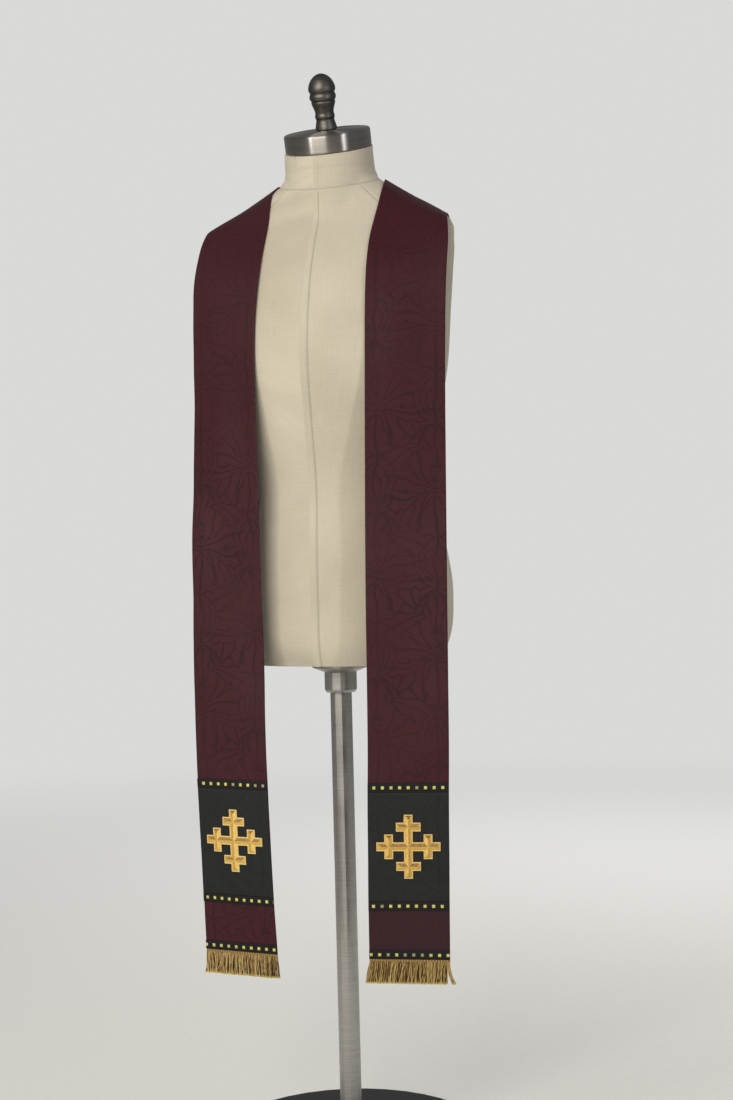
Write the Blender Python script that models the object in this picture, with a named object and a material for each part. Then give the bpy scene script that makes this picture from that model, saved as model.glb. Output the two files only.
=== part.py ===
"""A clerical stole worn on a limbless dress form: its solids at real size, in metres, +Z up.

The form faces -Y and stands on the floor at z = 0 with its pole on the Z axis; +X is the wearer's left.
The stole is two long bands of lined damask, joined at the nape and hanging free down the front. Each has
a black apron panel with an embroidered cross, three lengths of chequered braid and a cut fringe at its hem.
Everything sewn to a band is made from that band's own points, moved out along its normal.
"""

import math
import random
from collections import namedtuple

import bmesh
import bpy
import numpy as np
from mathutils import Matrix

MM = 0.001
GAP = 0.3 * MM  # between pieces that touch

# Stole, as cut and made up.
BAND_WIDTH = 114 * MM
BAND_WALL = 2.0 * MM  # damask, interlining and lining together
FORM_CLEARANCE = 1.0 * MM  # between the lining and the form where the band rests
BRAID_WIDTH = 13 * MM
BRAID_WALL = 1.1 * MM
PANEL_WALL = 0.7 * MM
MID_BRAID_ABOVE_HEM = 75.9 * MM
TOP_BRAID_ABOVE_HEM = 242.2 * MM
BRAIDS = {"hem": BRAID_WIDTH / 2, "mid": MID_BRAID_ABOVE_HEM, "top": TOP_BRAID_ABOVE_HEM}

# Embroidered cross crosslet on each apron panel.
CROSS_SPAN = 90 * MM
CROSS_BAR = 12.6 * MM
CROSSLET_SPAN = 34.8 * MM
CROSSLET_FROM_TIP = 17.4 * MM  # tip of an arm to the middle of its small bar
CROSS_RISE = {"left": 0.7 * MM, "right": 2.3 * MM}  # of each cross above the middle of its panel
CROSS_EDGE_WALL = 0.9 * MM
CROSS_RIDGE_WALL = 2.0 * MM

# Fringe.
STRANDS = 72
STRAND_SHARE = 0.7  # of each strand's pitch; the rest is the gap to the next
HEADING_HEIGHT = 4.0 * MM
HEADING_WALL = 1.0 * MM
STRAND_LENGTH = 31 * MM
FRINGE_FLARE = {"left": 1.12, "right": 1.06}  # how much wider each fringe spreads at its cut ends
FRINGE_SEED = {"left": 7, "right": 11}
STRAND_SWAY = 0.2 * MM  # of a cut end along the hem
STRAND_LIFT = 1.0 * MM  # of a cut end to the front or back

# Dress form and its stand.
FORM_AROUND = 36
FORM_FLOOR = 0.735
FORM_EDGE = 6 * MM  # height of the rounding at the form's underside
YOKE_FOOT, YOKE_TOP, NECK_ROOT = 1.305, 1.380, 1.4545  # where the torso's rings get closer
NECK_TILT = 20.0  # degrees, the neck and its cap lean forward
CAP_CENTRE = (0.0, 0.0062, 1.4980)  # middle of the cap's underside
NECK_TOP_RADIUS = 66 * MM
NECK_TOP_FORWARD = 1.5 * MM  # of the cap's middle
POLE_RADIUS = 16 * MM

# Turned pieces: radius and height above their own underside in millimetres, ending on the axis.
CAP_PROFILE = [(0, 0), (63.1, 0), (64.6, 1.5), (64.6, 25), (62.6, 27), (36, 28.5), (0, 29)]
FINIAL_PROFILE = [
    (0, 0), (16.0, 0), (16.3, 1.9), (15.0, 7.5), (13.6, 13.1), (13.4, 15.4), (14.6, 17.3), (14.8, 20.6),
    (13.6, 23.4), (14.2, 28.0), (16.2, 33.7), (17.8, 38.3), (18.0, 40.2), (16.8, 41.3), (18.9, 43.0),
    (19.8, 46.7), (19.3, 50.5), (17.6, 52.8), (19.4, 54.7), (20.3, 58.0), (19.8, 61.7), (18.3, 66.4),
    (15.2, 72.0), (10.5, 76.7), (5.2, 79.5), (0, 80.4),
]
COLLAR_PROFILE = [(0, 0), (22, 0), (24, 4), (24, 30), (42, 37), (44, 45), (0, 45)]
BASE_PROFILE = [(0, 0), (212, 0), (215, 3), (215, 14), (209, 22), (60, 30), (30, 44), (26, 60), (0, 60)]

# Level sections of the torso: half width, and the depths of its front, widest line and back.
# squareness 2 is an ellipse, and less draws the section in towards the shoulder line.
FormSection = namedtuple("FormSection", "name height half_width front side back squareness")
FORM_SECTIONS = [
    FormSection("floor", FORM_FLOOR, 0.1480, -0.0960, 0.005, 0.1080, 2.20),
    FormSection("seat", 0.7500, 0.1570, -0.1020, 0.005, 0.1160, 2.20),
    FormSection("hip", 0.8300, 0.1710, -0.1070, 0.005, 0.1240, 2.20),
    FormSection("belly", 0.9100, 0.1620, -0.1060, 0.002, 0.1090, 2.20),
    FormSection("waist", 0.9900, 0.1440, -0.1010, 0.000, 0.0920, 2.20),
    FormSection("ribs", 1.0800, 0.1560, -0.1160, 0.000, 0.0990, 2.20),
    FormSection("chest", 1.1700, 0.1720, -0.1300, 0.000, 0.1130, 2.20),
    FormSection("armpit", 1.2550, 0.1790, -0.1180, 0.000, 0.1210, 2.15),
    FormSection("yoke", 1.3100, 0.1840, -0.0980, 0.000, 0.1200, 2.05),
    FormSection("blade", 1.3500, 0.1870, -0.0765, 0.001, 0.1150, 1.95),
    FormSection("shoulder", 1.3835, 0.1800, -0.0560, 0.004, 0.1070, 1.85),
    FormSection("slope", 1.4025, 0.1520, -0.0490, 0.008, 0.1020, 1.80),
    FormSection("trapeze", 1.4225, 0.1175, -0.0450, 0.013, 0.0965, 1.80),
    FormSection("neck", 1.4445, 0.0820, -0.0455, 0.019, 0.0890, 1.90),
    FormSection("throat", NECK_ROOT, 0.0710, -0.0475, 0.018, 0.0840, 2.00),
]
# Rings of the neck between the torso and its top: middle, radius and forward tilt in degrees.
NeckRing = namedtuple("NeckRing", "name depth height radius tilt")
NECK_RINGS = [
    NeckRing("root", 0.0110, 1.4655, 0.0672, 8.0),
    NeckRing("stem", 0.0070, 1.4800, 0.0665, 15.0),
]

# Sections across the wearer's left band, from the nape seam over the shoulder to the hem. Each gives the
# middle of the band, how far its outer edge is turned back and sloped down, in degrees, and its width.
BandSection = namedtuple("BandSection", "name across forward height turn slope width")
BAND_SECTIONS = [
    BandSection("nape seam", GAP / 2, 0.1030, 1.3935, 90.0, 77.0, 96 * MM),
    BandSection("nape side", 0.0490, 0.1000, 1.3950, 52.0, 66.0, 105 * MM),
    BandSection("back of shoulder", 0.0950, 0.0820, 1.3995, 36.0, 53.0, 112 * MM),
    BandSection("behind the ridge", 0.1220, 0.0450, 1.4095, 14.0, 40.0, 116 * MM),
    BandSection("shoulder ridge", 0.1300, 0.0070, 1.4165, -3.0, 32.0, 117 * MM),
    BandSection("before the ridge", 0.1320, -0.0200, 1.4030, -3.0, 26.5, 116 * MM),
    BandSection("collarbone", 0.1340, -0.0410, 1.3770, 0.0, 18.0, 115 * MM),
    BandSection("upper chest", 0.1350, -0.0625, 1.3430, 7.0, 9.0, BAND_WIDTH),
    BandSection("chest", 0.1352, -0.0830, 1.2990, 12.5, 4.0, BAND_WIDTH),
    BandSection("full chest", 0.1354, -0.0950, 1.2500, 16.5, 1.5, BAND_WIDTH),
    BandSection("below the chest", 0.1350, -0.1010, 1.1900, 19.5, 0.0, BAND_WIDTH),
    BandSection("ribs", 0.1340, -0.1050, 1.1100, 20.0, 0.0, BAND_WIDTH),
    BandSection("waist", 0.1335, -0.1095, 1.0200, 16.5, 0.0, BAND_WIDTH),
    BandSection("hip", 0.1330, -0.1145, 0.9300, 13.5, 0.0, BAND_WIDTH),
    BandSection("thigh", 0.1326, -0.1190, 0.8300, 11.2, 0.0, BAND_WIDTH),
    BandSection("above the knee", 0.1320, -0.1218, 0.7200, 9.0, 0.0, BAND_WIDTH),
    BandSection("knee", 0.1310, -0.1232, 0.6200, 9.0, 0.0, BAND_WIDTH),
    BandSection("apron top", 0.1293, -0.1237, 0.5500, 8.8, 0.0, BAND_WIDTH),
    BandSection("apron", 0.1276, -0.1222, 0.4600, 8.0, 0.0, BAND_WIDTH),
    BandSection("apron foot", 0.1262, -0.1207, 0.4000, 7.2, 0.0, BAND_WIDTH),
    BandSection("hem", 0.1243, -0.1167, 0.3265, 7.0, 0.0, BAND_WIDTH),
]

# Soft buckles of the stiff cloth: middle above the hem, half length, place across the band from -0.5 at
# the neck edge to 0.5 at the outer edge, half breadth as a share of the width, and height of the swell.
Fold = namedtuple("Fold", "above_hem half_length place half_breadth height")
FOLDS = {
    "left": [
        Fold(1.060, 0.090, 0.50, 0.45, 2.2 * MM),
        Fold(0.870, 0.130, -0.10, 0.40, 2.0 * MM),
        Fold(0.680, 0.110, 0.45, 0.50, -2.6 * MM),
        Fold(0.500, 0.150, -0.50, 0.55, 2.4 * MM),
        Fold(0.330, 0.100, 0.40, 0.60, 1.8 * MM),
        Fold(0.080, 0.110, -0.45, 0.50, 2.0 * MM),
    ],
    "right": [
        Fold(1.090, 0.080, 0.45, 0.50, 2.6 * MM),
        Fold(0.930, 0.100, 0.50, 0.40, -2.2 * MM),
        Fold(0.740, 0.120, 0.10, 0.45, 2.2 * MM),
        Fold(0.590, 0.090, 0.50, 0.50, 3.0 * MM),
        Fold(0.420, 0.130, -0.50, 0.50, -2.4 * MM),
        Fold(0.120, 0.150, 0.50, 0.55, -3.0 * MM),
    ],
}

# Where the cloth turns over the shoulder an edge is drawn in: middle above the hem, half length, and
# how far the neck edge and the outer edge move outwards.
DrawnEdge = namedtuple("DrawnEdge", "above_hem half_length neck_edge outer_edge")
DRAWN_EDGES = {
    "left": DrawnEdge(1.090, 0.085, 6.0 * MM, -1.0 * MM),
    "right": DrawnEdge(1.060, 0.110, -0.5 * MM, -4.5 * MM),
}

# Grid of a band: rows are close over the curved shoulder and wide down the straight front.
BAND_CELLS_ACROSS = 8
CURVED_LENGTH = 0.36
ROW_PITCH_CURVED = 12 * MM
ROW_PITCH_STRAIGHT = 30 * MM
APRON_ROW_PITCH = 20 * MM

SIDES = {"left": 1.0, "right": -1.0}  # sign of the side's x

COLOURS = {  # linear red, green, blue; roughness; metallic
    "burgundy_damask": ((0.055, 0.016, 0.021), 0.55, 0.0),
    "black_damask": ((0.018, 0.019, 0.019), 0.60, 0.0),
    "chequered_braid": ((0.030, 0.028, 0.020), 0.60, 0.0),
    "gold_embroidery": ((0.700, 0.420, 0.110), 0.40, 0.3),
    "gold_fringe": ((0.480, 0.310, 0.090), 0.45, 0.3),
    "linen": ((0.640, 0.570, 0.410), 0.85, 0.0),
    "steel": ((0.550, 0.540, 0.520), 0.30, 1.0),
    "pewter": ((0.200, 0.190, 0.180), 0.45, 0.9),
    "iron": ((0.030, 0.030, 0.032), 0.50, 0.5),
}


# ---------------------------------------------------------------- scene and mesh helpers


def clear_scene():
    for thing in list(bpy.data.objects):
        bpy.data.objects.remove(thing, do_unlink=True)


def material(name):
    found = bpy.data.materials.get(name)
    if found:
        return found
    colour, roughness, metallic = COLOURS[name]
    made = bpy.data.materials.new(name)
    made.use_nodes = True
    shader = made.node_tree.nodes["Principled BSDF"]
    shader.inputs["Base Color"].default_value = (*colour, 1.0)
    shader.inputs["Roughness"].default_value = roughness
    shader.inputs["Metallic"].default_value = metallic
    made.diffuse_color = (*colour, 1.0)
    return made


def add_object(name, mesh, finish):
    """Takes a bmesh, turns its faces outwards and links it to the scene as one named object."""
    bmesh.ops.recalc_face_normals(mesh, faces=mesh.faces)
    data = bpy.data.meshes.new(name)
    mesh.to_mesh(data)
    mesh.free()
    data.shade_smooth()
    data.set_sharp_from_angle(angle=math.radians(35))
    data.materials.append(material(finish))
    made = bpy.data.objects.new(name, data)
    bpy.context.scene.collection.objects.link(made)
    return made


def even(start, end, pitch):
    """Evenly spaced values from start to end, no further apart than pitch."""
    return np.linspace(start, end, max(2, math.ceil((end - start) / pitch - 1e-6) + 1))


def bump(x):
    """1 at 0, easing down to 0 at -1 and 1 and beyond."""
    return 0.5 + 0.5 * np.cos(np.pi * np.clip(x, -1, 1))


def smooth(knots, rows, at):
    """Cubic curve through table rows: rows[i] belongs to knots[i], and at is where it is read."""
    knots, rows, at = (np.asarray(a, float) for a in (knots, rows, at))
    tangents = np.gradient(rows, knots, axis=0)
    i = np.clip(np.searchsorted(knots, at) - 1, 0, len(knots) - 2)
    step = (knots[i + 1] - knots[i])[:, None]
    f = (np.clip(at, knots[0], knots[-1]) - knots[i])[:, None] / step
    ends = rows[i] * (1 + 2 * f) * (1 - f) ** 2 + rows[i + 1] * f * f * (3 - 2 * f)
    return ends + step * (tangents[i] * f * (1 - f) ** 2 - tangents[i + 1] * f * f * (1 - f))


def wall_between(inner, outer):
    """A closed wall from two grids of points, rows by columns, with faces all round its rim."""
    rows, columns = inner.shape[:2]
    mesh = bmesh.new()
    skins = []
    for grid in (inner, outer):
        skins.append([[mesh.verts.new(point) for point in row] for row in grid])
    for skin in skins:
        for r in range(rows - 1):
            for c in range(columns - 1):
                mesh.faces.new((skin[r][c], skin[r][c + 1], skin[r + 1][c + 1], skin[r + 1][c]))
    low, high = skins
    rim = [(0, c) for c in range(columns)] + [(r, columns - 1) for r in range(1, rows)]
    rim += [(rows - 1, c) for c in range(columns - 2, -1, -1)] + [(r, 0) for r in range(rows - 2, 0, -1)]
    for (r0, c0), (r1, c1) in zip(rim, rim[1:] + rim[:1]):
        mesh.faces.new((low[r0][c0], low[r1][c1], high[r1][c1], high[r0][c0]))
    return mesh


def turned(profile, steps, placed):
    """A solid of revolution about Z from its profile in millimetres, moved by the matrix placed."""
    mesh = bmesh.new()
    rings = []
    for radius, height in ((r * MM, z * MM) for r, z in profile):
        if radius == 0:
            rings.append([mesh.verts.new((0, 0, height))])
            continue
        angles = [2 * math.pi * k / steps for k in range(steps)]
        rings.append([mesh.verts.new((radius * math.cos(a), radius * math.sin(a), height)) for a in angles])
    for low, high in zip(rings, rings[1:]):
        for k in range(steps):
            n = (k + 1) % steps
            corners = [low[k % len(low)], low[n % len(low)], high[n % len(high)], high[k % len(high)]]
            mesh.faces.new(list(dict.fromkeys(corners)))
    bmesh.ops.transform(mesh, matrix=placed, verts=mesh.verts)
    return mesh


# ---------------------------------------------------------------- dress form


def form_section(height):
    """half_width, front, side, back and squareness of the torso at each height."""
    knots = [s.height for s in FORM_SECTIONS]
    return smooth(knots, [s[2:] for s in FORM_SECTIONS], height).T


def form_ratio(points):
    """1 on the torso's skin, less inside and more outside, along each level section."""
    half_width, front, side, back, squareness = form_section(points[:, 2])
    y = points[:, 1] - side
    depth = np.where(y < 0, side - front, back - side)
    x_part = (np.abs(points[:, 0]) / half_width) ** squareness
    return (x_part + (np.abs(y) / depth) ** squareness) ** (1 / squareness)


def rest_on_form(points, clearance):
    """Moves the points that lie nearer than clearance to the torso straight out of its skin."""
    step = 0.4 * MM
    for _ in range(6):
        slope = np.stack(
            [(form_ratio(points + step * axis) - form_ratio(points - step * axis)) for axis in np.eye(3)], 1
        )
        slope /= 2 * step
        size = np.linalg.norm(slope, axis=1, keepdims=True)
        distance = (form_ratio(points)[:, None] - 1) / size
        points = points + slope / size * np.clip(clearance - distance, 0, 4 * MM)
    return points


def section_ring(section):
    """Points round one level section of the torso."""
    points = []
    for k in range(FORM_AROUND):
        angle = 2 * math.pi * k / FORM_AROUND
        c, s = math.cos(angle), math.sin(angle)
        power = 2 / section.squareness
        depth = section.back - section.side if s > 0 else section.side - section.front
        x = section.half_width * math.copysign(abs(c) ** power, c)
        y = section.side + depth * math.copysign(abs(s) ** power, s)
        points.append((x, y, section.height))
    return points


def neck_ring(ring):
    """Points round one tilted ring of the neck."""
    tilt = math.radians(ring.tilt)
    points = []
    for k in range(FORM_AROUND):
        angle = 2 * math.pi * k / FORM_AROUND
        x, y = ring.radius * math.cos(angle), ring.radius * math.sin(angle)
        points.append((x, ring.depth + y * math.cos(tilt), ring.height + y * math.sin(tilt)))
    return points


def neck_top():
    """The neck's top ring, just under the cap and level with it."""
    sine, cosine = math.sin(math.radians(NECK_TILT)), math.cos(math.radians(NECK_TILT))
    depth = CAP_CENTRE[1] + GAP * sine - NECK_TOP_FORWARD * cosine
    height = CAP_CENTRE[2] - GAP * cosine - NECK_TOP_FORWARD * sine
    return NeckRing("top", depth, height, NECK_TOP_RADIUS, NECK_TILT)


def make_torso():
    heights = [FORM_FLOOR, *even(FORM_FLOOR + FORM_EDGE, YOKE_FOOT, 30 * MM)]
    heights += [*even(YOKE_FOOT, YOKE_TOP, 20 * MM)[1:], *even(YOKE_TOP, NECK_ROOT, 9 * MM)[1:]]
    sections = [FormSection("cut", h, *form_section([h])[:, 0]) for h in heights]
    rings = [section_ring(s) for s in sections] + [neck_ring(r) for r in (*NECK_RINGS, neck_top())]
    mesh = bmesh.new()
    loops = [[mesh.verts.new(p) for p in ring] for ring in rings]
    for low, high in zip(loops, loops[1:]):
        for k in range(FORM_AROUND):
            n = (k + 1) % FORM_AROUND
            mesh.faces.new((low[k], low[n], high[n], high[k]))
    mesh.faces.new(loops[0])
    mesh.faces.new(loops[-1])
    add_object("form_torso", mesh, "linen")


def make_neck_cap_and_finial():
    cap_place = Matrix.Translation(CAP_CENTRE) @ Matrix.Rotation(math.radians(NECK_TILT), 4, "X")
    add_object("neck_cap", turned(CAP_PROFILE, 36, cap_place), "steel")
    rise = Matrix.Translation((0, 0, CAP_PROFILE[-1][1] * MM + GAP))
    add_object("finial", turned(FINIAL_PROFILE, 20, cap_place @ rise), "pewter")


def make_stand():
    add_object("stand_base", turned(BASE_PROFILE, 40, Matrix()), "iron")
    collar_foot = FORM_FLOOR - GAP - COLLAR_PROFILE[-1][1] * MM
    pole_foot = BASE_PROFILE[-1][1] * MM + GAP
    pole_height = (collar_foot - GAP - pole_foot) / MM
    radius = POLE_RADIUS / MM
    pole = [(0, 0), (radius, 0), (radius, pole_height), (0, pole_height)]
    add_object("stand_pole", turned(pole, 20, Matrix.Translation((0, 0, pole_foot))), "steel")
    add_object("stand_collar", turned(COLLAR_PROFILE, 24, Matrix.Translation((0, 0, collar_foot))), "steel")


# ---------------------------------------------------------------- the band's surface


def band_knots():
    """Distance of each section from the nape seam, along straight lines between their middles."""
    middles = np.array([s[1:4] for s in BAND_SECTIONS])
    return np.concatenate([[0], np.cumsum(np.linalg.norm(np.diff(middles, axis=0), axis=1))])


def section_rows():
    """Middle, across direction and width of each section; turn and slope become a direction."""
    rows = []
    for s in BAND_SECTIONS:
        turn, slope = math.radians(s.turn), math.radians(s.slope)
        level = math.cos(slope)
        direction = (level * math.cos(turn), level * math.sin(turn), -math.sin(slope))
        rows.append((s.across, s.forward, s.height, *direction, s.width))
    return rows


def band_frame(knot):
    """Middle, across direction and width at each knot, even across the nape seam."""
    rows = section_rows()
    knots = band_knots()
    mirrored = [v * (-1 if k in (0, 3) else 1) for k, v in enumerate(rows[1])]
    return smooth(np.concatenate([[-knots[1]], knots]), [mirrored] + rows, knot)


def band_length_scale():
    """Dense pairs of knot and true length from the nape seam, to read a length as a knot."""
    knots = np.linspace(0, band_knots()[-1], 600)
    middles = band_frame(knots)[:, :3]
    lengths = np.concatenate([[0], np.cumsum(np.linalg.norm(np.diff(middles, axis=0), axis=1))])
    return knots, lengths


KNOT_SCALE, LENGTH_SCALE = band_length_scale()
BAND_LENGTH = LENGTH_SCALE[-1]  # nape seam to hem along the middle


def swell(side, length, place):
    """Height of the folds at a length from the nape and a place across the band."""
    total = 0
    for fold in FOLDS[side]:
        along = bump((BAND_LENGTH - length - fold.above_hem) / fold.half_length)
        total = total + fold.height * along * bump((place - fold.place) / fold.half_breadth)
    return total


def drawn_in(side, length, place):
    """How far a point moves outwards across the band where an edge is drawn in."""
    edge = DRAWN_EDGES[side]
    shift = edge.neck_edge * (0.5 - place) + edge.outer_edge * (0.5 + place)
    return shift * bump((BAND_LENGTH - length - edge.above_hem) / edge.half_length)


def outward(grid, starts_at_nape):
    """Unit normals of a grid of points, pointing away from the form."""
    normals = np.cross(np.gradient(grid, axis=0), np.gradient(grid, axis=1))
    if starts_at_nape:
        normals[0, :, 0] = 0  # the two bands meet face to face there
    return normals / np.linalg.norm(normals, axis=2, keepdims=True)


def band_skin(side, lengths, places):
    """Grid of points on the back of the band and its outward normals, rows by columns."""
    lengths, places = np.asarray(lengths, float), np.asarray(places, float)
    frame = band_frame(np.interp(lengths, LENGTH_SCALE, KNOT_SCALE))
    past_hem = np.clip(lengths - BAND_LENGTH, 0, None)
    middle, across, width = frame[:, :3], frame[:, 3:6], frame[:, 6]
    middle = middle - past_hem[:, None] * np.array([0, 0, 1.0])
    across = across / np.linalg.norm(across, axis=1, keepdims=True)
    reach = width[:, None] * places[None, :] + drawn_in(side, lengths[:, None], places[None, :])
    grid = middle[:, None] + across[:, None] * reach[:, :, None]
    at_nape = lengths[0] == 0
    grid = grid + outward(grid, at_nape) * swell(side, lengths[:, None], places[None, :])[:, :, None]
    grid = rest_on_form(grid.reshape(-1, 3), FORM_CLEARANCE).reshape(grid.shape)
    if at_nape:
        grid[0, :, 0] = GAP / 2
    mirror = np.array([SIDES[side], 1, 1])
    return grid * mirror, outward(grid, at_nape) * mirror


def cloth(side, lengths, places, low, high):
    """A closed wall over part of the band, from low to high above the band's back."""
    grid, normals = band_skin(side, lengths, places)
    return wall_between(grid + normals * low, grid + normals * high)


def places_across():
    return np.linspace(-0.5, 0.5, BAND_CELLS_ACROSS + 1)


def make_band(side):
    curved = even(0, CURVED_LENGTH, ROW_PITCH_CURVED)
    apron_start = BAND_LENGTH - TOP_BRAID_ABOVE_HEM
    straight = even(CURVED_LENGTH, apron_start, ROW_PITCH_STRAIGHT)[1:]
    apron = even(apron_start, BAND_LENGTH, APRON_ROW_PITCH)[1:]
    lengths = np.concatenate([curved, straight, apron])
    add_object(f"band_{side}", cloth(side, lengths, places_across(), 0, BAND_WALL), "burgundy_damask")


def make_apron(side):
    """The black panel between the middle and top braids, and the three braids."""
    low = BAND_WALL + GAP
    start = BAND_LENGTH - TOP_BRAID_ABOVE_HEM + BRAID_WIDTH / 2 + GAP
    end = BAND_LENGTH - MID_BRAID_ABOVE_HEM - BRAID_WIDTH / 2 - GAP
    rows = even(start, end, APRON_ROW_PITCH)
    panel = cloth(side, rows, places_across(), low, low + PANEL_WALL)
    add_object(f"apron_panel_{side}", panel, "black_damask")
    for name, above_hem in BRAIDS.items():
        middle = BAND_LENGTH - above_hem
        rows = np.array([middle - BRAID_WIDTH / 2, middle, middle + BRAID_WIDTH / 2])
        braid = cloth(side, rows, places_across(), low, low + BRAID_WALL)
        add_object(f"braid_{name}_{side}", braid, "chequered_braid")


# ---------------------------------------------------------------- embroidered cross


def cross_lines():
    """Grid lines of the cross in its own plane: each bar's edges and middle, and the hips at its ends."""
    half, bar = CROSS_SPAN / 2, CROSS_BAR / 2
    small_middle = half - CROSSLET_FROM_TIP
    small_half = CROSSLET_SPAN / 2
    positive = [
        bar, small_half - bar, small_half, small_middle - bar, small_middle, small_middle + bar,
        half - bar, half,
    ]
    lines = {0.0} | {round(v, 6) for v in positive} | {round(-v, 6) for v in positive}
    return sorted(lines)


def in_cross(u, v):
    half, bar = CROSS_SPAN / 2, CROSS_BAR / 2
    small_middle, small_half = half - CROSSLET_FROM_TIP, CROSSLET_SPAN / 2
    for a, b in ((abs(u), abs(v)), (abs(v), abs(u))):
        if a < half and b < bar:
            return True
        if abs(a - small_middle) < bar and b < small_half:
            return True
    return False


def on_ridge(u, v):
    """True on the middle line of a bar, short of the hip at its end."""
    half, bar = CROSS_SPAN / 2, CROSS_BAR / 2
    small_middle, small_half = half - CROSSLET_FROM_TIP, CROSSLET_SPAN / 2
    tiny = 1e-5
    for a, b in ((abs(u), abs(v)), (abs(v), abs(u))):
        if b < tiny and a < half - bar + tiny:
            return True
        if abs(a - small_middle) < tiny and b < small_half - bar + tiny:
            return True
    return False


def make_cross(side):
    """Padded satin stitch: every bar rises to a ridge along its middle and slopes down at its ends."""
    middle = BAND_LENGTH - (TOP_BRAID_ABOVE_HEM + MID_BRAID_ABOVE_HEM) / 2 - CROSS_RISE[side]
    lines = cross_lines()
    grid, normals = band_skin(side, [middle + v for v in lines], [u / BAND_WIDTH for u in lines])
    floor = BAND_WALL + GAP + PANEL_WALL + GAP
    mesh = bmesh.new()
    low, high = {}, {}

    def corner(store, i, j, lift):
        if (i, j) not in store:
            store[i, j] = mesh.verts.new(grid[i, j] + normals[i, j] * lift)
        return store[i, j]

    cells = set()
    for i, (v0, v1) in enumerate(zip(lines, lines[1:])):
        for j, (u0, u1) in enumerate(zip(lines, lines[1:])):
            if in_cross((u0 + u1) / 2, (v0 + v1) / 2):
                cells.add((i, j))
    for i, j in cells:
        spots = [(i, j), (i, j + 1), (i + 1, j + 1), (i + 1, j)]
        ridged = [on_ridge(lines[b], lines[a]) for a, b in spots]
        alone = [k for k in range(4) if ridged.count(ridged[k]) == 1]
        first = alone[0] % 2 if alone else 0  # a crease runs across the cell from its lone corner
        bottom = [corner(low, *spot, floor) for spot in spots]
        top = []
        for spot, is_ridge in zip(spots, ridged):
            top.append(corner(high, *spot, floor + (CROSS_RIDGE_WALL if is_ridge else CROSS_EDGE_WALL)))
        mesh.faces.new(bottom)
        mesh.faces.new((top[first], top[first + 1], top[first + 2]))
        mesh.faces.new((top[first], top[first + 2], top[(first + 3) % 4]))
        for k, (di, dj) in enumerate(((-1, 0), (0, 1), (1, 0), (0, -1))):
            if (i + di, j + dj) not in cells:
                mesh.faces.new((bottom[k], bottom[(k + 1) % 4], top[(k + 1) % 4], top[k]))
    add_object(f"cross_{side}", mesh, "gold_embroidery")


# ---------------------------------------------------------------- fringe


def make_fringe(side):
    """A narrow heading just below the hem, whose underside grows into separate strands."""
    sway = random.Random(FRINGE_SEED[side])
    pitch = 1.0 / STRANDS
    edges = [-0.5]
    for k in range(STRANDS):
        start = -0.5 + k * pitch + pitch * (1 - STRAND_SHARE) / 2
        edges += [start, start + pitch * STRAND_SHARE]
    edges.append(0.5)
    top, foot = BAND_LENGTH + GAP, BAND_LENGTH + GAP + HEADING_HEIGHT
    low, high = (BAND_WALL - HEADING_WALL) / 2, (BAND_WALL + HEADING_WALL) / 2
    grid, normals = band_skin(side, [top, foot], edges)
    mesh = bmesh.new()
    skins = []
    for lift in (low, high):
        skins.append([[mesh.verts.new(p) for p in row] for row in grid + normals * lift])
    back, front = skins
    last = len(edges) - 1
    for c in range(last):
        for skin in skins:
            mesh.faces.new((skin[0][c], skin[0][c + 1], skin[1][c + 1], skin[1][c]))
        mesh.faces.new((back[0][c], back[0][c + 1], front[0][c + 1], front[0][c]))
    for c in (0, last):
        mesh.faces.new((back[0][c], back[1][c], front[1][c], front[0][c]))
    sideways = grid[1, -1] - grid[1, 0]
    forward = normals[1, len(edges) // 2]
    for c in range(last):
        root = [back[1][c], back[1][c + 1], front[1][c + 1], front[1][c]]
        if c % 2 == 0:
            mesh.faces.new(root)
            continue
        place = (edges[c] + edges[c + 1]) / 2
        lean = sway.uniform(-1, 1) * STRAND_SWAY
        lift = sway.uniform(-1, 1) * STRAND_LIFT
        length = STRAND_LENGTH * sway.uniform(0.96, 1.03)
        ring = root
        for drop, spread in ((0.5, 0.35), (1.0, 1.0)):
            shift = sideways * place * (FRINGE_FLARE[side] - 1) * spread + forward * lift * spread
            shift = shift + sideways / np.linalg.norm(sideways) * lean * spread
            shift = shift - np.array([0, 0, 1.0]) * length * drop
            moved = [mesh.verts.new(np.array(v.co) + shift) for v in root]
            for k in range(4):
                n = (k + 1) % 4
                mesh.faces.new((ring[k], ring[n], moved[n], moved[k]))
            ring = moved
        mesh.faces.new(ring)
    add_object(f"fringe_{side}", mesh, "gold_fringe")


def build():
    clear_scene()
    make_torso()
    make_neck_cap_and_finial()
    make_stand()
    for side in SIDES:
        make_band(side)
        make_apron(side)
        make_cross(side)
        make_fringe(side)


build()
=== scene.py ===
"""A clerical stole on a limbless dress form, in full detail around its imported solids.

Metres, +Z up. The form faces -Y and +X is the wearer's left. The sections follow the object as it is put
together: the room, the stand, the covered form, the two bands of the stole, and what is sewn to each band.
"""

import math
import random
from collections import namedtuple

import bpy
import numpy as np
from mathutils import Matrix, Vector


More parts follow.
